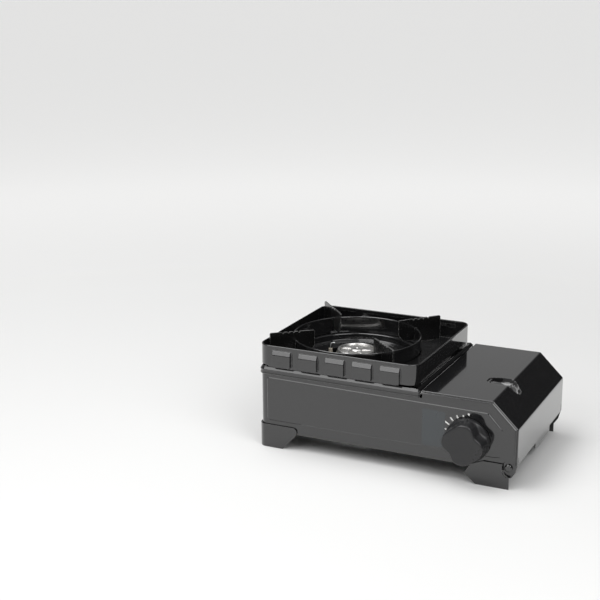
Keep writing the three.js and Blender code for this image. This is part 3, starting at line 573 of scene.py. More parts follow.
def subdivided(points, longest):
    """The same closed path with no step over a length."""
    result = []
    for i, here in enumerate(points):
        after = points[(i + 1) % len(points)]
        count = max(1, math.ceil((after - here).length / longest))
        result += [here.lerp(after, k / count) for k in range(count)]
    return result


# %% [markdown]
# ## Top plate
# The top plate caps the burner side like a shallow lid: its edge is rolled over a small radius
# and folded down 8 mm, and the hole over the burner has a rounded lip.

# %% Top plate mesh
def top_plate():
    (x0, y0, low), (x1, y1, high) = plate_low, plate_high
    outline = subdivided(rounded([(x0, y0, 9), (x1, y0, 1.4), (x1, y1, 1.4), (x0, y1, 9)], steps=8), 6)
    section = [(0.35, low + 0.3), (0.0, low + 0.7), (0.0, low + 1.5), (0.35, low + 2.2), (0.35, high - 4.2)]
    section += [(0.25, high - 3.9), (0.0, high - 3.5), (0.08, high - 3.1), (0.3, high - 2.75),
                (1.75, high - 0.42), (2.0, high - 0.15), (2.4, high - 0.02), (2.9, high), (3.6, high)]
    hole = [(68.2, high), (67.2, high), (66.4, high - 0.3), (66.0, high - 0.9), (66.0, high - 3.2),
            (66.9, high - 3.2), (67.0, high - 1.4), (68.2, high - 1)]
    under = [(3.6, high - 1), (2.6, high - 1.4), (1.3, high - 3.2), (1.0, low + 0.3), (0.5, low)]
    rings = plate_rings(outline, section) + round_rings(outline, hole) + plate_rings(outline, under)
    return flattened(closed_loft("folded_top_plate", rings, enamel, along=True))


belongs(top_plate(), "stove_body", "black_enamel_steel", "top_plate")

# %% [markdown]
# ## Canister cover
# The cover is one sheet bent twice, from a flat top over a chamfer to the side wall, with a lip
# folded down at the front and the rear. The lip's lower edge is rolled outwards, which stiffens it
# and gives a second bright line beside the edge. The cross-section holds sheet, lip and roll, and
# it is swept along the bent line. The finger scoop is pressed into the finished grid.

# %% Cover section and line
cover_low, cover_high = box_mm("canister_cover")
COVER_FRONT, COVER_REAR, COVER_LEFT = cover_low[1], cover_high[1], cover_low[0]
COVER_TOP, EAR_SHEET, FOOT_SHEET = 89.9, 1.2, 1.2
bends = [(COVER_LEFT, COVER_TOP), (116.6, COVER_TOP, 3.4), (143.0, 64.0, 3.4), (143.0, 26.3)]
SCOOP = {"x": 110.0, "y": -16.5, "z": 88.2, "tilt": math.radians(22), "rx": 19.0, "ry": 11.0, "rz": 6.5}


def lip_side(edge, way):
    """Half of the outer and inner skin, from the lip's rolled edge to the flat sheet."""
    outer = [(edge + way * d, n) for d, n in (
        (0.3, -3.2), (0.0, -2.95), (0.0, -2.7), (0.12, -2.5), (0.85, -1.75), (0.9, -1.6),
        (0.8, -1.35), (0.35, -1.05), (0.3, -0.85), (0.42, -0.6), (0.8, -0.15), (1.0, -0.04),
        (1.4, 0.0), (2.2, 0.0), (4.6, 0.0))]
    inner = [(edge + way * d, n) for d, n in ((4.6, -1.0), (2.4, -1.0), (2.0, -1.3), (1.85, -1.8), (1.2, -2.6),
                                              (1.0, -2.95), (0.7, -3.2))]
    return outer, inner


across = sorted({round(SCOOP["y"] - 13 + 0.6 * k, 3) for k in range(44)} | {-45.0, 20.0, 45.0, 70.0})
front_outer, front_inner = lip_side(COVER_FRONT, 1)
rear_outer, rear_inner = lip_side(COVER_REAR, -1)
cover_section = (front_outer + [(y, 0.0) for y in across] + rear_outer[::-1]
                 + rear_inner[::-1] + [(y, -1.0) for y in reversed(across)] + front_inner)
print("cover section", len(cover_section), "points")


# %% Cover line with close points where the scoop is
def dense_between(path, low, high, step):
    """Adds points to the straight stretches of a path between two x values."""
    result = []
    for here, after in zip(path, path[1:]):
        result.append(here)
        length = after.x - here.x
        if length <= step:
            continue
        inside = [low + step * k for k in range(int((high - low) / step) + 1)]
        result += [here.lerp(after, (x - here.x) / length) for x in inside if here.x + 0.2 < x < after.x - 0.2]
    return result + [path[-1]]


# %% Press the scoop
def pressed_scoop(point):
    """A point of the cover, moved down into the finger scoop if it lies over it."""
    turn = Matrix.Rotation(SCOOP["tilt"], 3, "Y")
    local = turn.transposed() @ (point - Vector((SCOOP["x"], SCOOP["y"], SCOOP["z"])))
    reach = (local.x / SCOOP["rx"]) ** 2 + (local.y / SCOOP["ry"]) ** 2
    if reach >= 1 or local.z < -5:
        return point
    depth = 1.7 + SCOOP["rz"] * math.sqrt(1 - reach)
    blend = min(1, max(0, (0.99 - reach) / 0.13))
    blend = blend * blend * (3 - 2 * blend)
    return point + turn @ Vector((0, 0, -depth * blend))


def canister_cover():
    path = dense_between(rounded(bends, closed=False, steps=8), 90.0, 130.0, 0.7)
    side = mitres(path, closed=False)
    bm = bmesh.new()
    rings = []
    for p, m in zip(path, side):
        ring = [Vector((p.x - m.x * n, y, p.y - m.y * n)) for y, n in cover_section]
        rings.append([pressed_scoop(v) for v in ring])
    loft(bm, rings, caps=True)
    flange = rounded([(COVER_LEFT, 84.4, 0.45), (COVER_LEFT + SHEET, 84.4, 0.45),
                      (COVER_LEFT + SHEET, 89.2), (COVER_LEFT, 89.2)], steps=3)
    loft(bm, [[(p.x, y, p.y) for p in flange] for y in (COVER_FRONT + 3.4, COVER_REAR - 3.4)], caps=True)
    ear = rounded([(143.0, 34), (143.0, 26.3, 1), (140.6, 17.6, 3), (135.8, 10.2, 3), (129.8, 14, 3),
                   (128.4, 26, 4), (135, 34, 2)])
    pin_hole = arc(PIVOT_X, 22.0, 2.75, 360, 15, 23)
    for ear_start in (-73.9, 92.0):
        cut_plate(bm, standing, ear, [pin_hole], ear_start, ear_start + EAR_SHEET)
    outward(bm)
    return soften(to_object("bent_canister_cover", bm, enamel), 0.2, 60)


belongs(canister_cover(), "cover", "black_enamel_steel", "canister_cover")

# %% [markdown]
# ## Feet
# The left feet are short strips folded round the body's corners, cut on a slant at both ends. The
# right feet are flat plates with a notch that clears the hinge. A strip is a path in plan whose
# lower and upper edge follow the slanted cut.

# %% Folded corner feet
def foot_edges(u):
    """Lower and upper edge of the folded foot at a distance from the corner."""
    low = 0.0 if u < 28.7 else 17 * (u - 28.7) / 15.8 if u < 44.5 else 17 + 3.4 * (u - 44.5)
    round_start = 45.7 - 4.5
    drop = 4.5 - math.sqrt(max(0, 4.5 ** 2 - (u - round_start) ** 2)) if u > round_start else 0
    return low, max(25.8 - drop, low + 0.15)


def corner_foot(name, front):
    x0, y0, out = -143.0, (plate_low[1] if front else plate_high[1]), (1 if front else -1)
    leg = [45.7, 45.5, 45.2, 44.8, 44.5, 44, 43, 42, 41.2, 36, 28.7, 20, 14]
    bend = [(9 - 9 * math.cos(a), 9 - 9 * math.sin(a)) for a in [math.pi / 2 * k / 12 for k in range(13)]]
    along_x = [(u, 0.0, u) for u in leg]
    around = [(v, u, max(u, v)) for u, v in bend]
    along_y = [(0.0, u, u) for u in reversed(leg)]
    line = along_x + around + along_y
    points = [Vector((x, y)) for x, y, _ in line]
    rings = []
    for p, m, (_, _, u) in zip(points, mitres(points, closed=False), line):
        low, high = foot_edges(u)
        inner = p + m * FOOT_SHEET
        rings.append([(x0 + a.x, y0 + out * a.y, z) for a, z in
                      ((p, low), (p, high), (inner, high), (inner, low))])
    return soften(closed_loft(name, rings, enamel, caps=True), 0.3, 45)


belongs(corner_foot("folded_foot_front_left", True), "stove_body", "black_enamel_steel", "foot_front_left")
belongs(corner_foot("folded_foot_rear_left", False), "stove_body", "black_enamel_steel", "foot_rear_left")

# %% Flat plate feet
lower_notch = arc(PIVOT_X, 18.5, WINDOW_R, -75, -180, 10)
upper_notch = arc(PIVOT_X, 23.9, WINDOW_R, 180, 159, 3)
foot_edge = rounded([(135.2, 12.9), (135.2, 0), (101.3, 0), (89.1, 10.3, 1), (95.2, 20.6, 3),
                     (108.6, 26, 2), (128.3, 26)], closed=False)
plate_foot = [*foot_edge, *upper_notch[::-1][1:], *lower_notch[::-1][:-1]]
for name, node, w0 in (("plate_foot_front_right", "foot_front_right", plate_low[1]),
                       ("plate_foot_rear_right", "foot_rear_right", plate_high[1] - FOOT_SHEET)):
    bm = bmesh.new()
    cut_plate(bm, standing, plate_foot, [], w0, w0 + FOOT_SHEET)
    belongs(soften(to_object(name, bm, enamel), 0.3), "stove_body", "black_enamel_steel", node)

# %% [markdown]
# ## Windshield
# The outer windshield is a tall strip bent into a rounded square, with a rolled upper rim. Five
# louvres are pressed out of the front and five out of the rear. They repeat by one rule: at each
# pitch the sheet moves outwards over a width, with a steep lower edge and a slope at the top. That
# rule is a Geometry Nodes tree that moves the points of a plain wall.

# %% Wall with grid lines where the louvres press
shield_low, shield_high = box_mm("windshield")
LOUVRES = {"Count": 5, "First": -114.1, "Pitch": 30.6, "Width": 22.0, "Low": 92.6, "High": 110.3,
           "Front Depth": 3.8, "Rear Depth": 2.5}
SHIELD = {"left": -142.8, "right": 36.9, "front": shield_low[1] + LOUVRES["Front Depth"],
          "rear": shield_high[1] - LOUVRES["Rear Depth"], "base": 90.8, "top": shield_high[2]}
LEFT_SLOT_END, RIGHT_SLOT_START, RIM_R = -130.8, 14.9, 0.8


def louvre_lines():
    """The x values that give each louvre's ends and rounded corners enough points."""
    lines = []
    for k in range(LOUVRES["Count"]):
        centre = LOUVRES["First"] + LOUVRES["Pitch"] * k
        for inset in (-0.6, -0.05, 0.08, 0.2, 0.32, 0.45, 0.6, 1.2):
            half = LOUVRES["Width"] / 2 - inset
            lines += [centre - half, centre + half]
    return lines + [LEFT_SLOT_END, LEFT_SLOT_END + 0.6, RIGHT_SLOT_START - 0.6, RIGHT_SLOT_START]


def lined(points):
    """Adds the louvre lines to the straight front and rear of the wall."""
    result = []
    for i, here in enumerate(points):
        after = points[(i + 1) % len(points)]
        result.append(here)
        if abs(here.y - after.y) > 1e-6 or abs(here.x - after.x) < 50:
            continue
        way = 1 if after.x > here.x else -1
        inside = [x for x in louvre_lines() if min(here.x, after.x) + 0.3 < x < max(here.x, after.x) - 0.3]
        result += [Vector((x, here.y)) for x in sorted(inside, key=lambda x: way * x)]
    return result


def slotted(x, y):
    """True over the two slots that let air in under the front corners."""
    behind = y - SHIELD["front"]
    return (behind < 4 and x > RIGHT_SLOT_START) or (behind < 12 and x < LEFT_SLOT_END)


def lifted(x, y, z):
    """A point of the wall, raised where it is the wall's lower edge over a slot."""
    if not slotted(x, y) or z >= 92.7:
        return x, y, z
    return x, y, z + 1.8 if z < 91.2 else max(z, 92.65 + (z - 91.6) * 0.05)


def shield_wall():
    s = SHIELD
    outline = lined(rounded([(s["left"], s["front"], 13), (s["right"], s["front"], 13),
                             (s["right"], s["rear"], 13), (s["left"], s["rear"], 13)], steps=10))
    low, high, top = LOUVRES["Low"], LOUVRES["High"], s["top"]
    heights = [91.6, 92.0, 92.3, *[low + d for d in (-0.05, 0.08, 0.2, 0.32, 0.45, 0.6, 1.2)], 98]
    heights += [high + d for d in (-7, -6, -5.4, -5.1, -4.8, -4.4, -3.8, -2, -1.2, -0.9, -0.6, -0.4,
                                   -0.25, -0.1, 0.05, 0.6)] + [top - 1.5]
    rim = [(0.6 - RIM_R * math.cos(a), top - RIM_R + RIM_R * math.sin(a)) for a in
           [math.radians(t) for t in (-35, 0, 30, 60, 90, 120, 150, 180, 215)]]
    section = [(0.25, s["base"]), (0.0, s["base"] + 0.3), *[(0.0, z) for z in heights], *rim,
               *[(SHEET, z) for z in reversed(heights)], (SHEET, s["base"] + 0.3), (0.75, s["base"])]
    rings = [[lifted(*p) for p in ring] for ring in plate_rings(outline, section)]
    return closed_loft("louvred_windshield", rings, enamel, along=True)


windshield = shield_wall()
print("windshield wall", len(windshield.data.vertices), "points")

# %% The tree that presses louvres
press_tree, into, out = new_group(
    "press louvres", "GeometryNodeTree",
    {"Geometry": None, "Count": 5, **dict.fromkeys(("First", "Pitch", "Width", "Low", "High", "Front Depth",
                                                    "Rear Depth", "Middle", "Edge"), 1.0), "Finish": None},
    ["Geometry"])
SLOPE_START, SLOPE_END, SLOPE_LEFT, ROW_REACH = 5 * MM, 0.5 * MM, 0.42, 80 * MM


def give_back(tree, geometry, into, out):
    """Ends a tree: instances become one mesh, and all of it takes the finish."""
    real = put(tree, "GeometryNodeRealizeInstances", {0: geometry}).outputs[0]
    painted = put(tree, "GeometryNodeSetMaterial", {"Geometry": real, "Material": into["Finish"]})
    tree.links.new(painted.outputs[0], out["Geometry"])


def press(operation, a, b=0.0):
    return sums(press_tree, operation, a, b)


at = put(press_tree, "GeometryNodeInputPosition").outputs[0]
axes = put(press_tree, "ShaderNodeSeparateXYZ", {0: at}).outputs
along_row = press("DIVIDE", press("SUBTRACT", axes["X"], into["First"]), into["Pitch"])
nearest = press("MAXIMUM", press("ROUND", along_row), 0.0)
nearest = press("MINIMUM", nearest, press("SUBTRACT", into["Count"], 1.0))
middle = press("ADD", press("MULTIPLY", nearest, into["Pitch"]), into["First"])
from_middle = press("ABSOLUTE", press("SUBTRACT", axes["X"], middle))
half_width = press("MULTIPLY", into["Width"], 0.5)
sideways = eased(press_tree, from_middle, half_width, press("SUBTRACT", half_width, into["Edge"]))
rise = eased(press_tree, axes["Z"], into["Low"], press("ADD", into["Low"], into["Edge"]))
slope_start = press("SUBTRACT", into["High"], SLOPE_START)
slope_end = press("SUBTRACT", into["High"], SLOPE_END)
slope = ramp(press_tree, axes["Z"], slope_start, slope_end, 1.0, SLOPE_LEFT)
upper_step = eased(press_tree, axes["Z"], slope_end, into["High"], 1.0, 0.0)
shape = press("MULTIPLY", press("MULTIPLY", sideways, rise), press("MULTIPLY", slope, upper_step))
on_front = press("LESS_THAN", axes["Y"], press("SUBTRACT", into["Middle"], ROW_REACH))
on_rear = press("GREATER_THAN", axes["Y"], press("ADD", into["Middle"], ROW_REACH))
reach_front = press("MULTIPLY", press("MULTIPLY", shape, into["Front Depth"]), on_front)
reach_rear = press("MULTIPLY", press("MULTIPLY", shape, into["Rear Depth"]), on_rear)
move = put(press_tree, "ShaderNodeCombineXYZ", {"Y": press("SUBTRACT", reach_rear, reach_front)}).outputs[0]
pressed = put(press_tree, "GeometryNodeSetPosition", {"Geometry": into["Geometry"], "Offset": move})
give_back(press_tree, pressed.outputs[0], into, out)


# %% Run a Geometry Nodes tree once and keep its mesh
def run_tree(made, tree, values):
    """Sets a tree's inputs by their identifiers and swaps the object's mesh for the result."""
    step = made.modifiers.new(tree.name, "NODES")
    step.node_group = tree
    sockets = {s.name: s.identifier for s in tree.interface.items_tree if s.in_out == "INPUT"}
    for label, value in values.items():
        step[sockets[label]] = value
    seen = bpy.context.evaluated_depsgraph_get()
    result = bpy.data.meshes.new_from_object(made.evaluated_get(seen))
    made.modifiers.remove(step)
    made.data = result
    for face in result.polygons:
        face.use_smooth = True
    return made


run_tree(windshield, press_tree, {
    **{k: (v if k == "Count" else v * MM) for k, v in LOUVRES.items()},
    "Middle": (SHIELD["front"] + SHIELD["rear"]) / 2 * MM, "Edge": 0.5 * MM, "Finish": enamel})
belongs(flattened(windshield), "wind_unit", "black_enamel_steel", "windshield")

# %% [markdown]
# ## Windshield base and windbreak ring
# The base is a flat plate inside the wall. The inner ring stands on its hole and carries the pot
# supports. Its rim is rolled outwards, so it shows two bright lines, and a small tab on the rear
# of the rim locks the ring.

# %% Windshield base
def windshield_base():
    inset, z0, z1 = 1.4, 92.9, 93.9
    x0, x1 = SHIELD["left"] + inset, SHIELD["right"] - inset
    y0, y1 = SHIELD["front"] + inset, SHIELD["rear"] - inset
    outline = subdivided(rounded([(x0, y0, 11), (x1, y0, 11), (x1, y1, 11), (x0, y1, 11)], steps=8), 6)
    rings = plate_rings(outline, [(0, z0), (0, z1), (2.5, z1)])
    rings += round_rings(outline, [(72.2, z1), (70.8, z1 - 0.2), (70.6, z0), (72.2, z0)])
    return soften(closed_loft("windshield_base_plate", rings, enamel, along=True), 0.2, 60)


belongs(windshield_base(), "wind_unit", "black_enamel_steel", "windshield_base")

# %% Windbreak ring
TAB_ANGLE, TAB_FOOT = math.radians(107), 70.2


def windbreak_ring():
    rim = [(69.9 + 0.95 * math.cos(math.radians(t)), 109.35 + 0.95 * math.sin(math.radians(t)))
           for t in (-50, -20, 10, 40, 70, 95, 120, 150, 180, 205)]
    profile = [(69.0, 92.2), (69.3, 92.0), (69.8, 92.0), (70.0, 92.3), (70.0, 96), (70.0, 107.6), *rim,
               (69.0, 107.6), (69.0, 96)]
    bm = bmesh.new()
    loft(bm, turned(profile, 128), along=True)
    outward(bm)
    tab = rounded([(-2.6, 106.5, 0.5), (2.6, 106.5, 0.5), (2.6, 111.0, 1.2), (-2.6, 111.0, 1.2)], steps=4)
    cut_plate(bm, lambda u, v, w: (*spoke(TAB_ANGLE, TAB_FOOT + w, u), v), tab, [], 0.6, 1.6)
    return soften(to_object("rolled_windbreak_ring", bm, enamel), 0.2, 60)


belongs(windbreak_ring(), "wind_unit", "black_enamel_steel", "windbreak_ring")

# %% [markdown]
# ## Pot supports
# Each support is a plate cut from thick sheet, notched over the ring, with three teeth that grip
# the pan. Their edges are painted grey, partly as thin, worn enamel and partly as a painted highlight.

# %% Pot support plates
BLADE = {"inner": 49.4, "outer": 100.1, "thick": 1.6, "top": 121.9, "low": 94.3}


def blade_top(r):
    return BLADE["top"] - 1.6 * (BLADE["outer"] - r) / (BLADE["outer"] - BLADE["inner"])


def blade_outline():
    teeth = []
    for r in (85.2, 79.2, 73.2, 67.2):
        teeth += [(r + 1.4, blade_top(r) + 0.2, 0.4), (r + 0.5, blade_top(r) - 1.3, 0.4),
                  (r - 0.5, blade_top(r) - 1.3, 0.4), (r - 1.4, blade_top(r) + 0.2, 0.4)]
    return rounded([
        (BLADE["inner"], blade_top(BLADE["inner"]), 1.4), (BLADE["inner"], 104, 2), (55, 96.4, 2),
        (68.6, 96.4, 0.8), (68.6, 110.7, 0.6), (71.3, 110.7, 0.6), (71.3, BLADE["low"], 0.5),
        (BLADE["outer"], BLADE["low"], 1), (BLADE["outer"], BLADE["top"], 1.4), *teeth], steps=3)


for corner, degrees in (("front_left", -135), ("front_right", -45), ("rear_right", 45), ("rear_left", 135)):
    turn, half = math.radians(degrees), BLADE["thick"] / 2
    bm = bmesh.new()
    cut_plate(bm, lambda u, v, w: (*spoke(turn, u, w), v), blade_outline(), [], -half, half)
    made = soften(to_object("pot_support_plate_" + corner, bm, porcelain), 0.4, 38, 3)
    belongs(made, "wind_unit", "porcelain_enamel", "pot_support_" + corner)

# %% [markdown]
# ## Drip tray and burner
# The tray is a shallow pressed ring that hangs in the top plate's hole. The burner head is a
# bright aluminium casting with a ring of slanted flame ports and curved vanes round a raised hub.
# The ports are thin black patches on the cap, not holes: painted shade.
# The vanes and ports repeat round the centre, so one Geometry Nodes tree places both.

# %% Drip tray
tray_profile = rounded([
    (36.2, 82, 0.8), (60, 82, 2.4), (64.4, 84, 1.4), (64.4, 90.8, 0.5), (68.4, 90.8, 0.4),
    (68.4, 91.7, 0.4), (63.5, 91.7, 1.2), (63.5, 84.8, 0.8), (59.5, 83, 1.6), (37.2, 83, 0.6),
    (37.2, 86, 0.4), (36.2, 86, 0.4)], steps=4)
tray = closed_loft("pressed_drip_tray", turned(tray_profile, 112), enamel, along=True)
belongs(flattened(tray), "tray", "black_enamel_steel", "drip_tray")

# %% Burner cap
cap_profile = rounded([
    (9, 84), (26.4, 84, 0.4), (26.4, 85.4, 0.4), (22.6, 86.8, 0.8), (22.6, 89.6, 0.8), (20.8, 94, 0.9),
    (18.7, 94, 0.6), (17.8, 91.6, 0.5), (9, 90.6)], steps=4)
burner_cap = closed_loft("burner_cap_ring", turned(cap_profile), cast, along=True)
belongs(flattened(burner_cap), "stove_body", "cast_aluminium", "burner_cap")

# %% One vane and one port
def vane_mesh():
    """A curved vane with a rounded back, lying along +X from the hub."""
    over, rings = [math.pi * j / 6 for j in range(7)], []
    for t in [k / 8 for k in range(9)]:
        x, y = 5.4 + 10.6 * t, 3.4 * t * t
        wide, tall = 1.15 * math.sin(math.pi * (0.12 + 0.76 * t)), 0.9 * math.sin(math.pi * (0.15 + 0.7 * t))
        rings.append([(x, y + wide * math.cos(a), tall * math.sin(a)) for a in over])
    return closed_loft("vane_pattern", rings, cast, caps=True)


def port_shade_patch():
    """A thin black patch for a flame port, slanted across the cap's sloping side: painted shade."""
    lean_out, lean_down = 0.38, 0.93
    shape = rounded([(-0.5, -1.5, 0.4), (0.5, -1.5, 0.4), (0.5, 1.5, 0.4), (-0.5, 1.5, 0.4)], steps=2)
    rings = [[(21.75 + p.y * lean_out + h * lean_down, p.x, -1.4 - p.y * lean_down + h * lean_out)
              for p in shape] for h in (-0.3, 0.06)]
    return closed_loft("port_pattern", rings, matt_plastic, caps=True)


# %% The tree that repeats a shape round a centre
wheel_tree, into, out = new_group(
    "repeat round centre", "GeometryNodeTree",
    {"Geometry": None, "Pattern": None, "Count": 6, "Centre": (0, 0, 0), "Finish": None}, ["Geometry"])
pattern = put(wheel_tree, "GeometryNodeObjectInfo", {"Object": into["Pattern"]}).outputs["Geometry"]
spokes = put(wheel_tree, "GeometryNodeMeshLine", {"Count": into["Count"], "Start Location": into["Centre"],
                                                  "Offset": (0, 0, 0)})
number = put(wheel_tree, "GeometryNodeInputIndex").outputs[0]
share = sums(wheel_tree, "DIVIDE", sums(wheel_tree, "MULTIPLY", number, 2 * math.pi), into["Count"])
spin = put(wheel_tree, "ShaderNodeCombineXYZ", {"Z": share})
wheel = put(wheel_tree, "GeometryNodeInstanceOnPoints", {
    "Points": spokes.outputs[0], "Instance": pattern, "Rotation": spin.outputs[0]})
give_back(wheel_tree, wheel.outputs[0], into, out)


def repeated(name, pattern_object, count, centre, material):
    holder = linked(name, bpy.data.meshes.new(name + "_start"))
    run_tree(holder, wheel_tree, {
        "Pattern": pattern_object, "Count": count, "Centre": centre, "Finish": material})
    bpy.data.objects.remove(pattern_object)
    return holder


# %% Swirl plate with its vanes
disc_profile = rounded([(0.01, 91.2), (8.6, 91.2), (8.6, 92.0), (17.2, 92.2, 0.3), (17.2, 93.0, 0.4),
                        (7.2, 92.7, 0.8), (5.2, 93.9, 0.9), (0.01, 94.0)], steps=4)
disc = closed_loft("swirl_plate_disc", turned(disc_profile, 72), cast, along=True)
burner_centre = (BURNER_X * MM, BURNER_Y * MM, 93.0 * MM)
belongs(disc, "stove_body", "cast_aluminium", "swirl_plate")
belongs(repeated("swirl_vanes", vane_mesh(), 6, (burner_centre[0], burner_centre[1], 92.75 * MM), cast),
        "stove_body", "cast_aluminium")
# Painted shade: each flame port is a black patch on the cap, not a hole.
belongs(repeated("flame_ports", port_shade_patch(), 36, burner_centre, matt_plastic), "stove_body", "cast_aluminium")

# %% [markdown]
# ## Control knob
# The knob is moulded in one piece: a round skirt against the panel and a grip with two deep and two
# shallow hollows for thumb and fingers. Its rings follow one rule, a circle drawn in at each
# hollow, so the side walls, the rounded rim and the slightly dished face all carry them. A small
# rib on the skirt is the pointer.

# %% Knob mesh
knob_low, knob_high = box_mm("control_knob")
KNOB_FACE, KNOB_BACK = knob_low[1], knob_high[1]
GRIP_HOLLOWS = ((38, 1.0), (128, 0.4), (218, 1.0), (308, 0.4))
HOLLOW_REACH = 0.66


def grip_hollow(angle):
    """How far the grip is hollowed at an angle, from 0 to 1."""
    total = 0
    for degrees, share in GRIP_HOLLOWS:
        away = abs(math.remainder(angle - math.radians(degrees), 2 * math.pi))
        if away < HOLLOW_REACH:
            total += share * math.cos(math.pi * away / (2 * HOLLOW_REACH)) ** 2
    return total


def lobed_ring(radius, hollow, y, count=144):
    ring = []
    for k in range(count):
        a = 2 * math.pi * k / count
        r = radius - hollow * grip_hollow(a)
        ring.append((KNOB_X + r * math.cos(a), y, KNOB_Z + r * math.sin(a)))
    return ring


def control_knob():
    face, rear = KNOB_FACE, KNOB_BACK
    front = [(0.5, 0.0, face + 0.35), (6.0, 0.4, face + 0.3), (12.0, 1.8, face + 0.2),
             (17.0, 3.6, face + 0.06), (19.0, 4.3, face), (20.2, 4.6, face + 0.2), (20.9, 4.7, face + 0.7),
             (21.3, 4.8, face + 1.5), (21.5, 4.8, face + 3.0), (21.8, 4.6, rear - 7.5),
             (22.2, 3.6, rear - 5.6), (22.5, 1.2, rear - 4.7), (22.9, 0.4, rear - 4.0),
             (22.9, 0.4, rear - 0.5), (22.6, 0.4, rear)]
    hollow = [(17.4, 0.0, rear), (16.5, 0.0, rear - 0.3), (16.4, 0.0, face + 3), (6.4, 0.0, face + 3),
              (6.4, 0.0, rear - 0.2), (3.4, 0.0, rear - 0.2), (3.4, 0.0, face + 5.4), (0.5, 0.0, face + 5.4)]
    bm = bmesh.new()
    loft(bm, [lobed_ring(r, f, y) for r, f, y in front + hollow], caps=True)
    outward(bm)
    rib = rounded([(-1.6, 0.0, 0.5), (1.6, 0.0, 0.5), (1.1, 4.0, 1.0), (-1.1, 4.0, 1.0)], steps=3)
    loft(bm, [[(KNOB_X + p.x, y, KNOB_Z + 19.9 + p.y * f) for p in rib] for y, f in
              ((rear - 0.1, 0.9), (rear - 4, 0.9), (rear - 9, 0.62), (rear - 12.5, 0.3))], caps=True)
    return soften(to_object("moulded_control_knob", bm, knob_plastic), 0.25, 50)


belongs(control_knob(), "knob", "knob_plastic", "control_knob")

# %% [markdown]
# ## Dial marks
# The dial is printed on the panel: a dot at each end of the knob's turn and five strokes between
# them that grow longer towards the high flame. They lie on an arc by rule, so a Geometry Nodes
# tree places a stroke at each step and stretches it by its number.

# %% Dial marks tree
dial_tree, into, out = new_group(
    "dial marks", "GeometryNodeTree",
    {"Geometry": None, "Strokes": 5, "Start Angle": 1.8, "Step Angle": 0.26, "Inner Radius": 0.0234,
     "Shortest": 0.0022, "Growth": 0.0011, "Stroke Width": 0.0016, "Ink Height": 0.00005,
     "Dot Size": 0.0012, "Centre": (0, 0, 0), "Finish": None}, ["Geometry"])


def ring_points(tree, count, first, step, radius, centre):
    """A line of points bent onto the arc, and each point's angle."""
    line = put(tree, "GeometryNodeMeshLine", {"Count": count, "Offset": (0, 0, 0)}).outputs[0]
    index = put(tree, "GeometryNodeInputIndex").outputs[0]
    angle = sums(tree, "ADD", sums(tree, "MULTIPLY", index, step), first)
    place = put(tree, "ShaderNodeCombineXYZ", {
        "X": sums(tree, "MULTIPLY", sums(tree, "COSINE", angle), radius),
        "Z": sums(tree, "MULTIPLY", sums(tree, "SINE", angle), radius)}).outputs[0]
    moved = put(tree, "ShaderNodeVectorMath", {0: place, 1: centre}, operation="ADD").outputs[0]
    points = put(tree, "GeometryNodeSetPosition", {"Geometry": line, "Position": moved}).outputs[0]
    return points, angle


index = put(dial_tree, "GeometryNodeInputIndex").outputs[0]
length = sums(dial_tree, "ADD", sums(dial_tree, "MULTIPLY", index, into["Growth"]), into["Shortest"])
stroke_radius = sums(dial_tree, "ADD", into["Inner Radius"], sums(dial_tree, "MULTIPLY", length, 0.5))
points, angle = ring_points(dial_tree, into["Strokes"], into["Start Angle"], into["Step Angle"],
                            stroke_radius, into["Centre"])
stroke = put(dial_tree, "GeometryNodeMeshCube", {"Size": (1, 1, 1)}).outputs[0]
turn = put(dial_tree, "ShaderNodeCombineXYZ", {"Y": sums(dial_tree, "MULTIPLY", angle, -1.0)}).outputs[0]
size = put(dial_tree, "ShaderNodeCombineXYZ", {
    "X": length, "Y": into["Ink Height"], "Z": into["Stroke Width"]}).outputs[0]
strokes = put(dial_tree, "GeometryNodeInstanceOnPoints", {
    "Points": points, "Instance": stroke, "Rotation": turn, "Scale": size}).outputs[0]
dot_radius = sums(dial_tree, "ADD", into["Inner Radius"], 0.0030)
quarter, _ = ring_points(dial_tree, 2, math.pi / 2, math.pi / 2, dot_radius, into["Centre"])
dot = put(dial_tree, "GeometryNodeMeshCylinder", {
    "Vertices": 20, "Radius": into["Dot Size"], "Depth": into["Ink Height"]}).outputs["Mesh"]
laid = put(dial_tree, "GeometryNodeInstanceOnPoints", {
    "Points": quarter, "Instance": dot, "Rotation": (math.pi / 2, 0, 0)}).outputs[0]
both = put(dial_tree, "GeometryNodeJoinGeometry")
dial_tree.links.new(strokes, both.inputs[0])
dial_tree.links.new(laid, both.inputs[0])
give_back(dial_tree, both.outputs[0], into, out)

# %% Print the dial
dial = linked("dial_marks", bpy.data.meshes.new("dial_start"))
run_tree(dial, dial_tree, {"Start Angle": math.radians(103), "Step Angle": math.radians(15),
                           "Centre": (KNOB_X * MM, (FRONT_FACE - 0.62) * MM, KNOB_Z * MM), "Finish": ink})
for face in dial.data.polygons:
    face.use_smooth = False
belongs(dial, "stove_body", "black_enamel_steel")

# %% [markdown]
# A clear film covers the panel beside the knob. It is a thin sheet with rounded corners, a
# little bluer than the enamel under it.

# %% Panel film
bm = bmesh.new()
film_shape = rounded([(43.4, 32.2, 0.6), (67.5, 32.9, 0.6), (67.5, 70.5, 0.6), (43.4, 71.4, 0.6)], steps=3)
cut_plate(bm, standing, film_shape, [], FRONT_FACE - 0.66, FRONT_FACE - 0.59)
belongs(to_object("panel_film", bm, film, smooth=False), "stove_body", "black_enamel_steel")

# %% [markdown]
# ## Underside
# The floor plate closes the body from below and has five long vent slots under the burner. Four
# cross-head screws hold it. The screws are one small turned shape with a cross pressed in,
# placed at each screw's point by a Geometry Nodes tree.

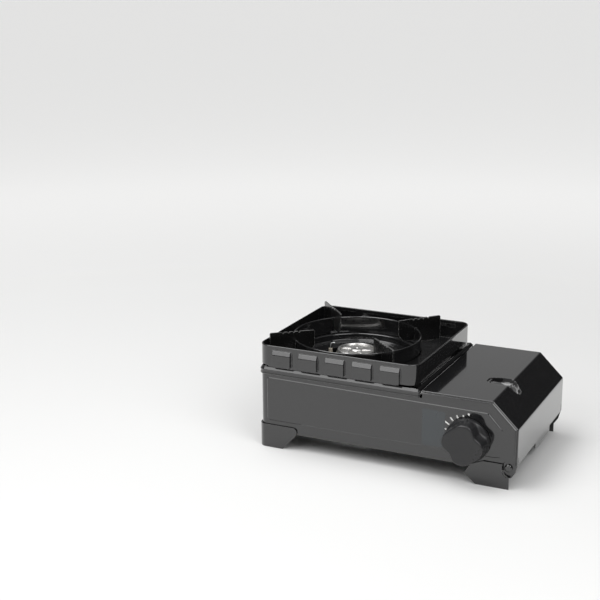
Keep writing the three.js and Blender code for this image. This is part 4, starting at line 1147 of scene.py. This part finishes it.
# %% Floor plate
floor_low, floor_high = box_mm("floor_plate")
SLOT_FIRST, SLOT_PITCH, SLOT_WIDE = BURNER_Y - 47, 22, 6
bm = bmesh.new()
plan = rounded([(floor_low[0], floor_low[1], 6), (108, floor_low[1]), (108, -71.9), (126.5, -71.9),
                (126.5, 91.2), (108, 91.2), (108, floor_high[1]), (floor_low[0], floor_high[1], 6)], steps=4)
slots = []
for near in [SLOT_FIRST + SLOT_PITCH * k for k in range(5)]:
    far = near + SLOT_WIDE
    slots.append(rounded([(-100, near, 2.9), (-34, near, 2.9), (-34, far, 2.9), (-100, far, 2.9)], steps=5))
cut_plate(bm, lambda u, v, w: (u, v, w), plan, slots, floor_low[2], floor_high[2])
floor_plate = soften(to_object("slotted_floor_plate", bm, enamel), 0.25)
belongs(floor_plate, "stove_body", "black_enamel_steel", "floor_plate")

# %% Screws
def screw_mesh():
    """A pan-head screw seen from below, with a cross recess."""
    steps = [2 * math.pi * k / 32 for k in range(32)]

    def star(r, depth):
        cross = [max(abs(math.cos(a)), abs(math.sin(a))) ** 14 for a in steps]
        return [(r * c * math.cos(a) + 0.35 * math.cos(a), r * c * math.sin(a) + 0.35 * math.sin(a), depth)
                for a, c in zip(steps, cross)]

    rings = [[(r * math.cos(a), r * math.sin(a), z) for a in steps] for r, z in
             ((3.2, 0), (3.2, -0.8), (3.0, -1.35), (2.6, -1.75), (2.2, -1.9))]
    rings += [star(1.55, -1.95), star(1.2, -1.0)]
    return closed_loft("screw_pattern", rings, zinc, caps=True)


screw_tree, into, out = new_group(
    "place screws", "GeometryNodeTree",
    {"Geometry": None, "Pattern": None, "Turn": 0.7, "Finish": None}, ["Geometry"])
pattern = put(screw_tree, "GeometryNodeObjectInfo", {"Object": into["Pattern"]}).outputs["Geometry"]
number = put(screw_tree, "GeometryNodeInputIndex").outputs[0]
spin = put(screw_tree, "ShaderNodeCombineXYZ", {"Z": sums(screw_tree, "MULTIPLY", number, into["Turn"])})
points = put(screw_tree, "GeometryNodeMeshToPoints", {"Mesh": into["Geometry"]}).outputs[0]
fixed = put(screw_tree, "GeometryNodeInstanceOnPoints", {
    "Points": points, "Instance": pattern, "Rotation": spin.outputs[0]})
give_back(screw_tree, fixed.outputs[0], into, out)

screw_nodes = [n for n in frame["nodes"] if n.startswith("floor_screw_")]
tops = []
for node in screw_nodes:
    low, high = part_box(node)
    tops.append(((low.x + high.x) / 2, (low.y + high.y) / 2, high.z))
seats = bpy.data.meshes.new("screw_seats")
seats.from_pydata(tops, [], [])
screws = linked("floor_screws", seats)
pattern_screw = screw_mesh()
run_tree(screws, screw_tree, {"Pattern": pattern_screw, "Finish": zinc})
bpy.data.objects.remove(pattern_screw)
belongs(screws, "stove_body", "plated_steel", *screw_nodes)

# %% [markdown]
# ## Parts inside
# The gas train, the igniter, the rails, brackets and pins already have their right shape in the
# frame. They keep it, with a weld and a small bevel so that their edges catch light, and take
# their finishes. The igniter's white ceramic is darkened to a brown grey, which is painted shade.

# %% Finishes on the parts kept from the frame
kept_finishes = {
    "black_enamel_steel": enamel, "porcelain_enamel": porcelain, "plated_steel": zinc,
    "sheet_aluminium": aluminium, "cast_aluminium": cast, "die_cast": die_cast, "brass": brass,
    "knob_plastic": knob_plastic, "black_plastic": matt_plastic, "white_ceramic": glazed,
    "lead_insulation": silicone}
slot_of = {part["node"]: part["material_slot"] for part in frame["record"]["subparts"]}
kept = 0
for node, part in frame["nodes"].items():
    if part.hide_render:
        continue
    for slot in part.material_slots:
        slot.material = burnished if node.startswith(("hinge_", "heat_")) else kept_finishes[slot_of[node]]
    weld = part.modifiers.new("weld", "WELD")
    weld.merge_threshold = 1e-6
    soften(part, 0.25 if "lead" not in node and "wire" not in node else 0.02, 42)
    kept += 1
print(kept, "parts kept from the frame")
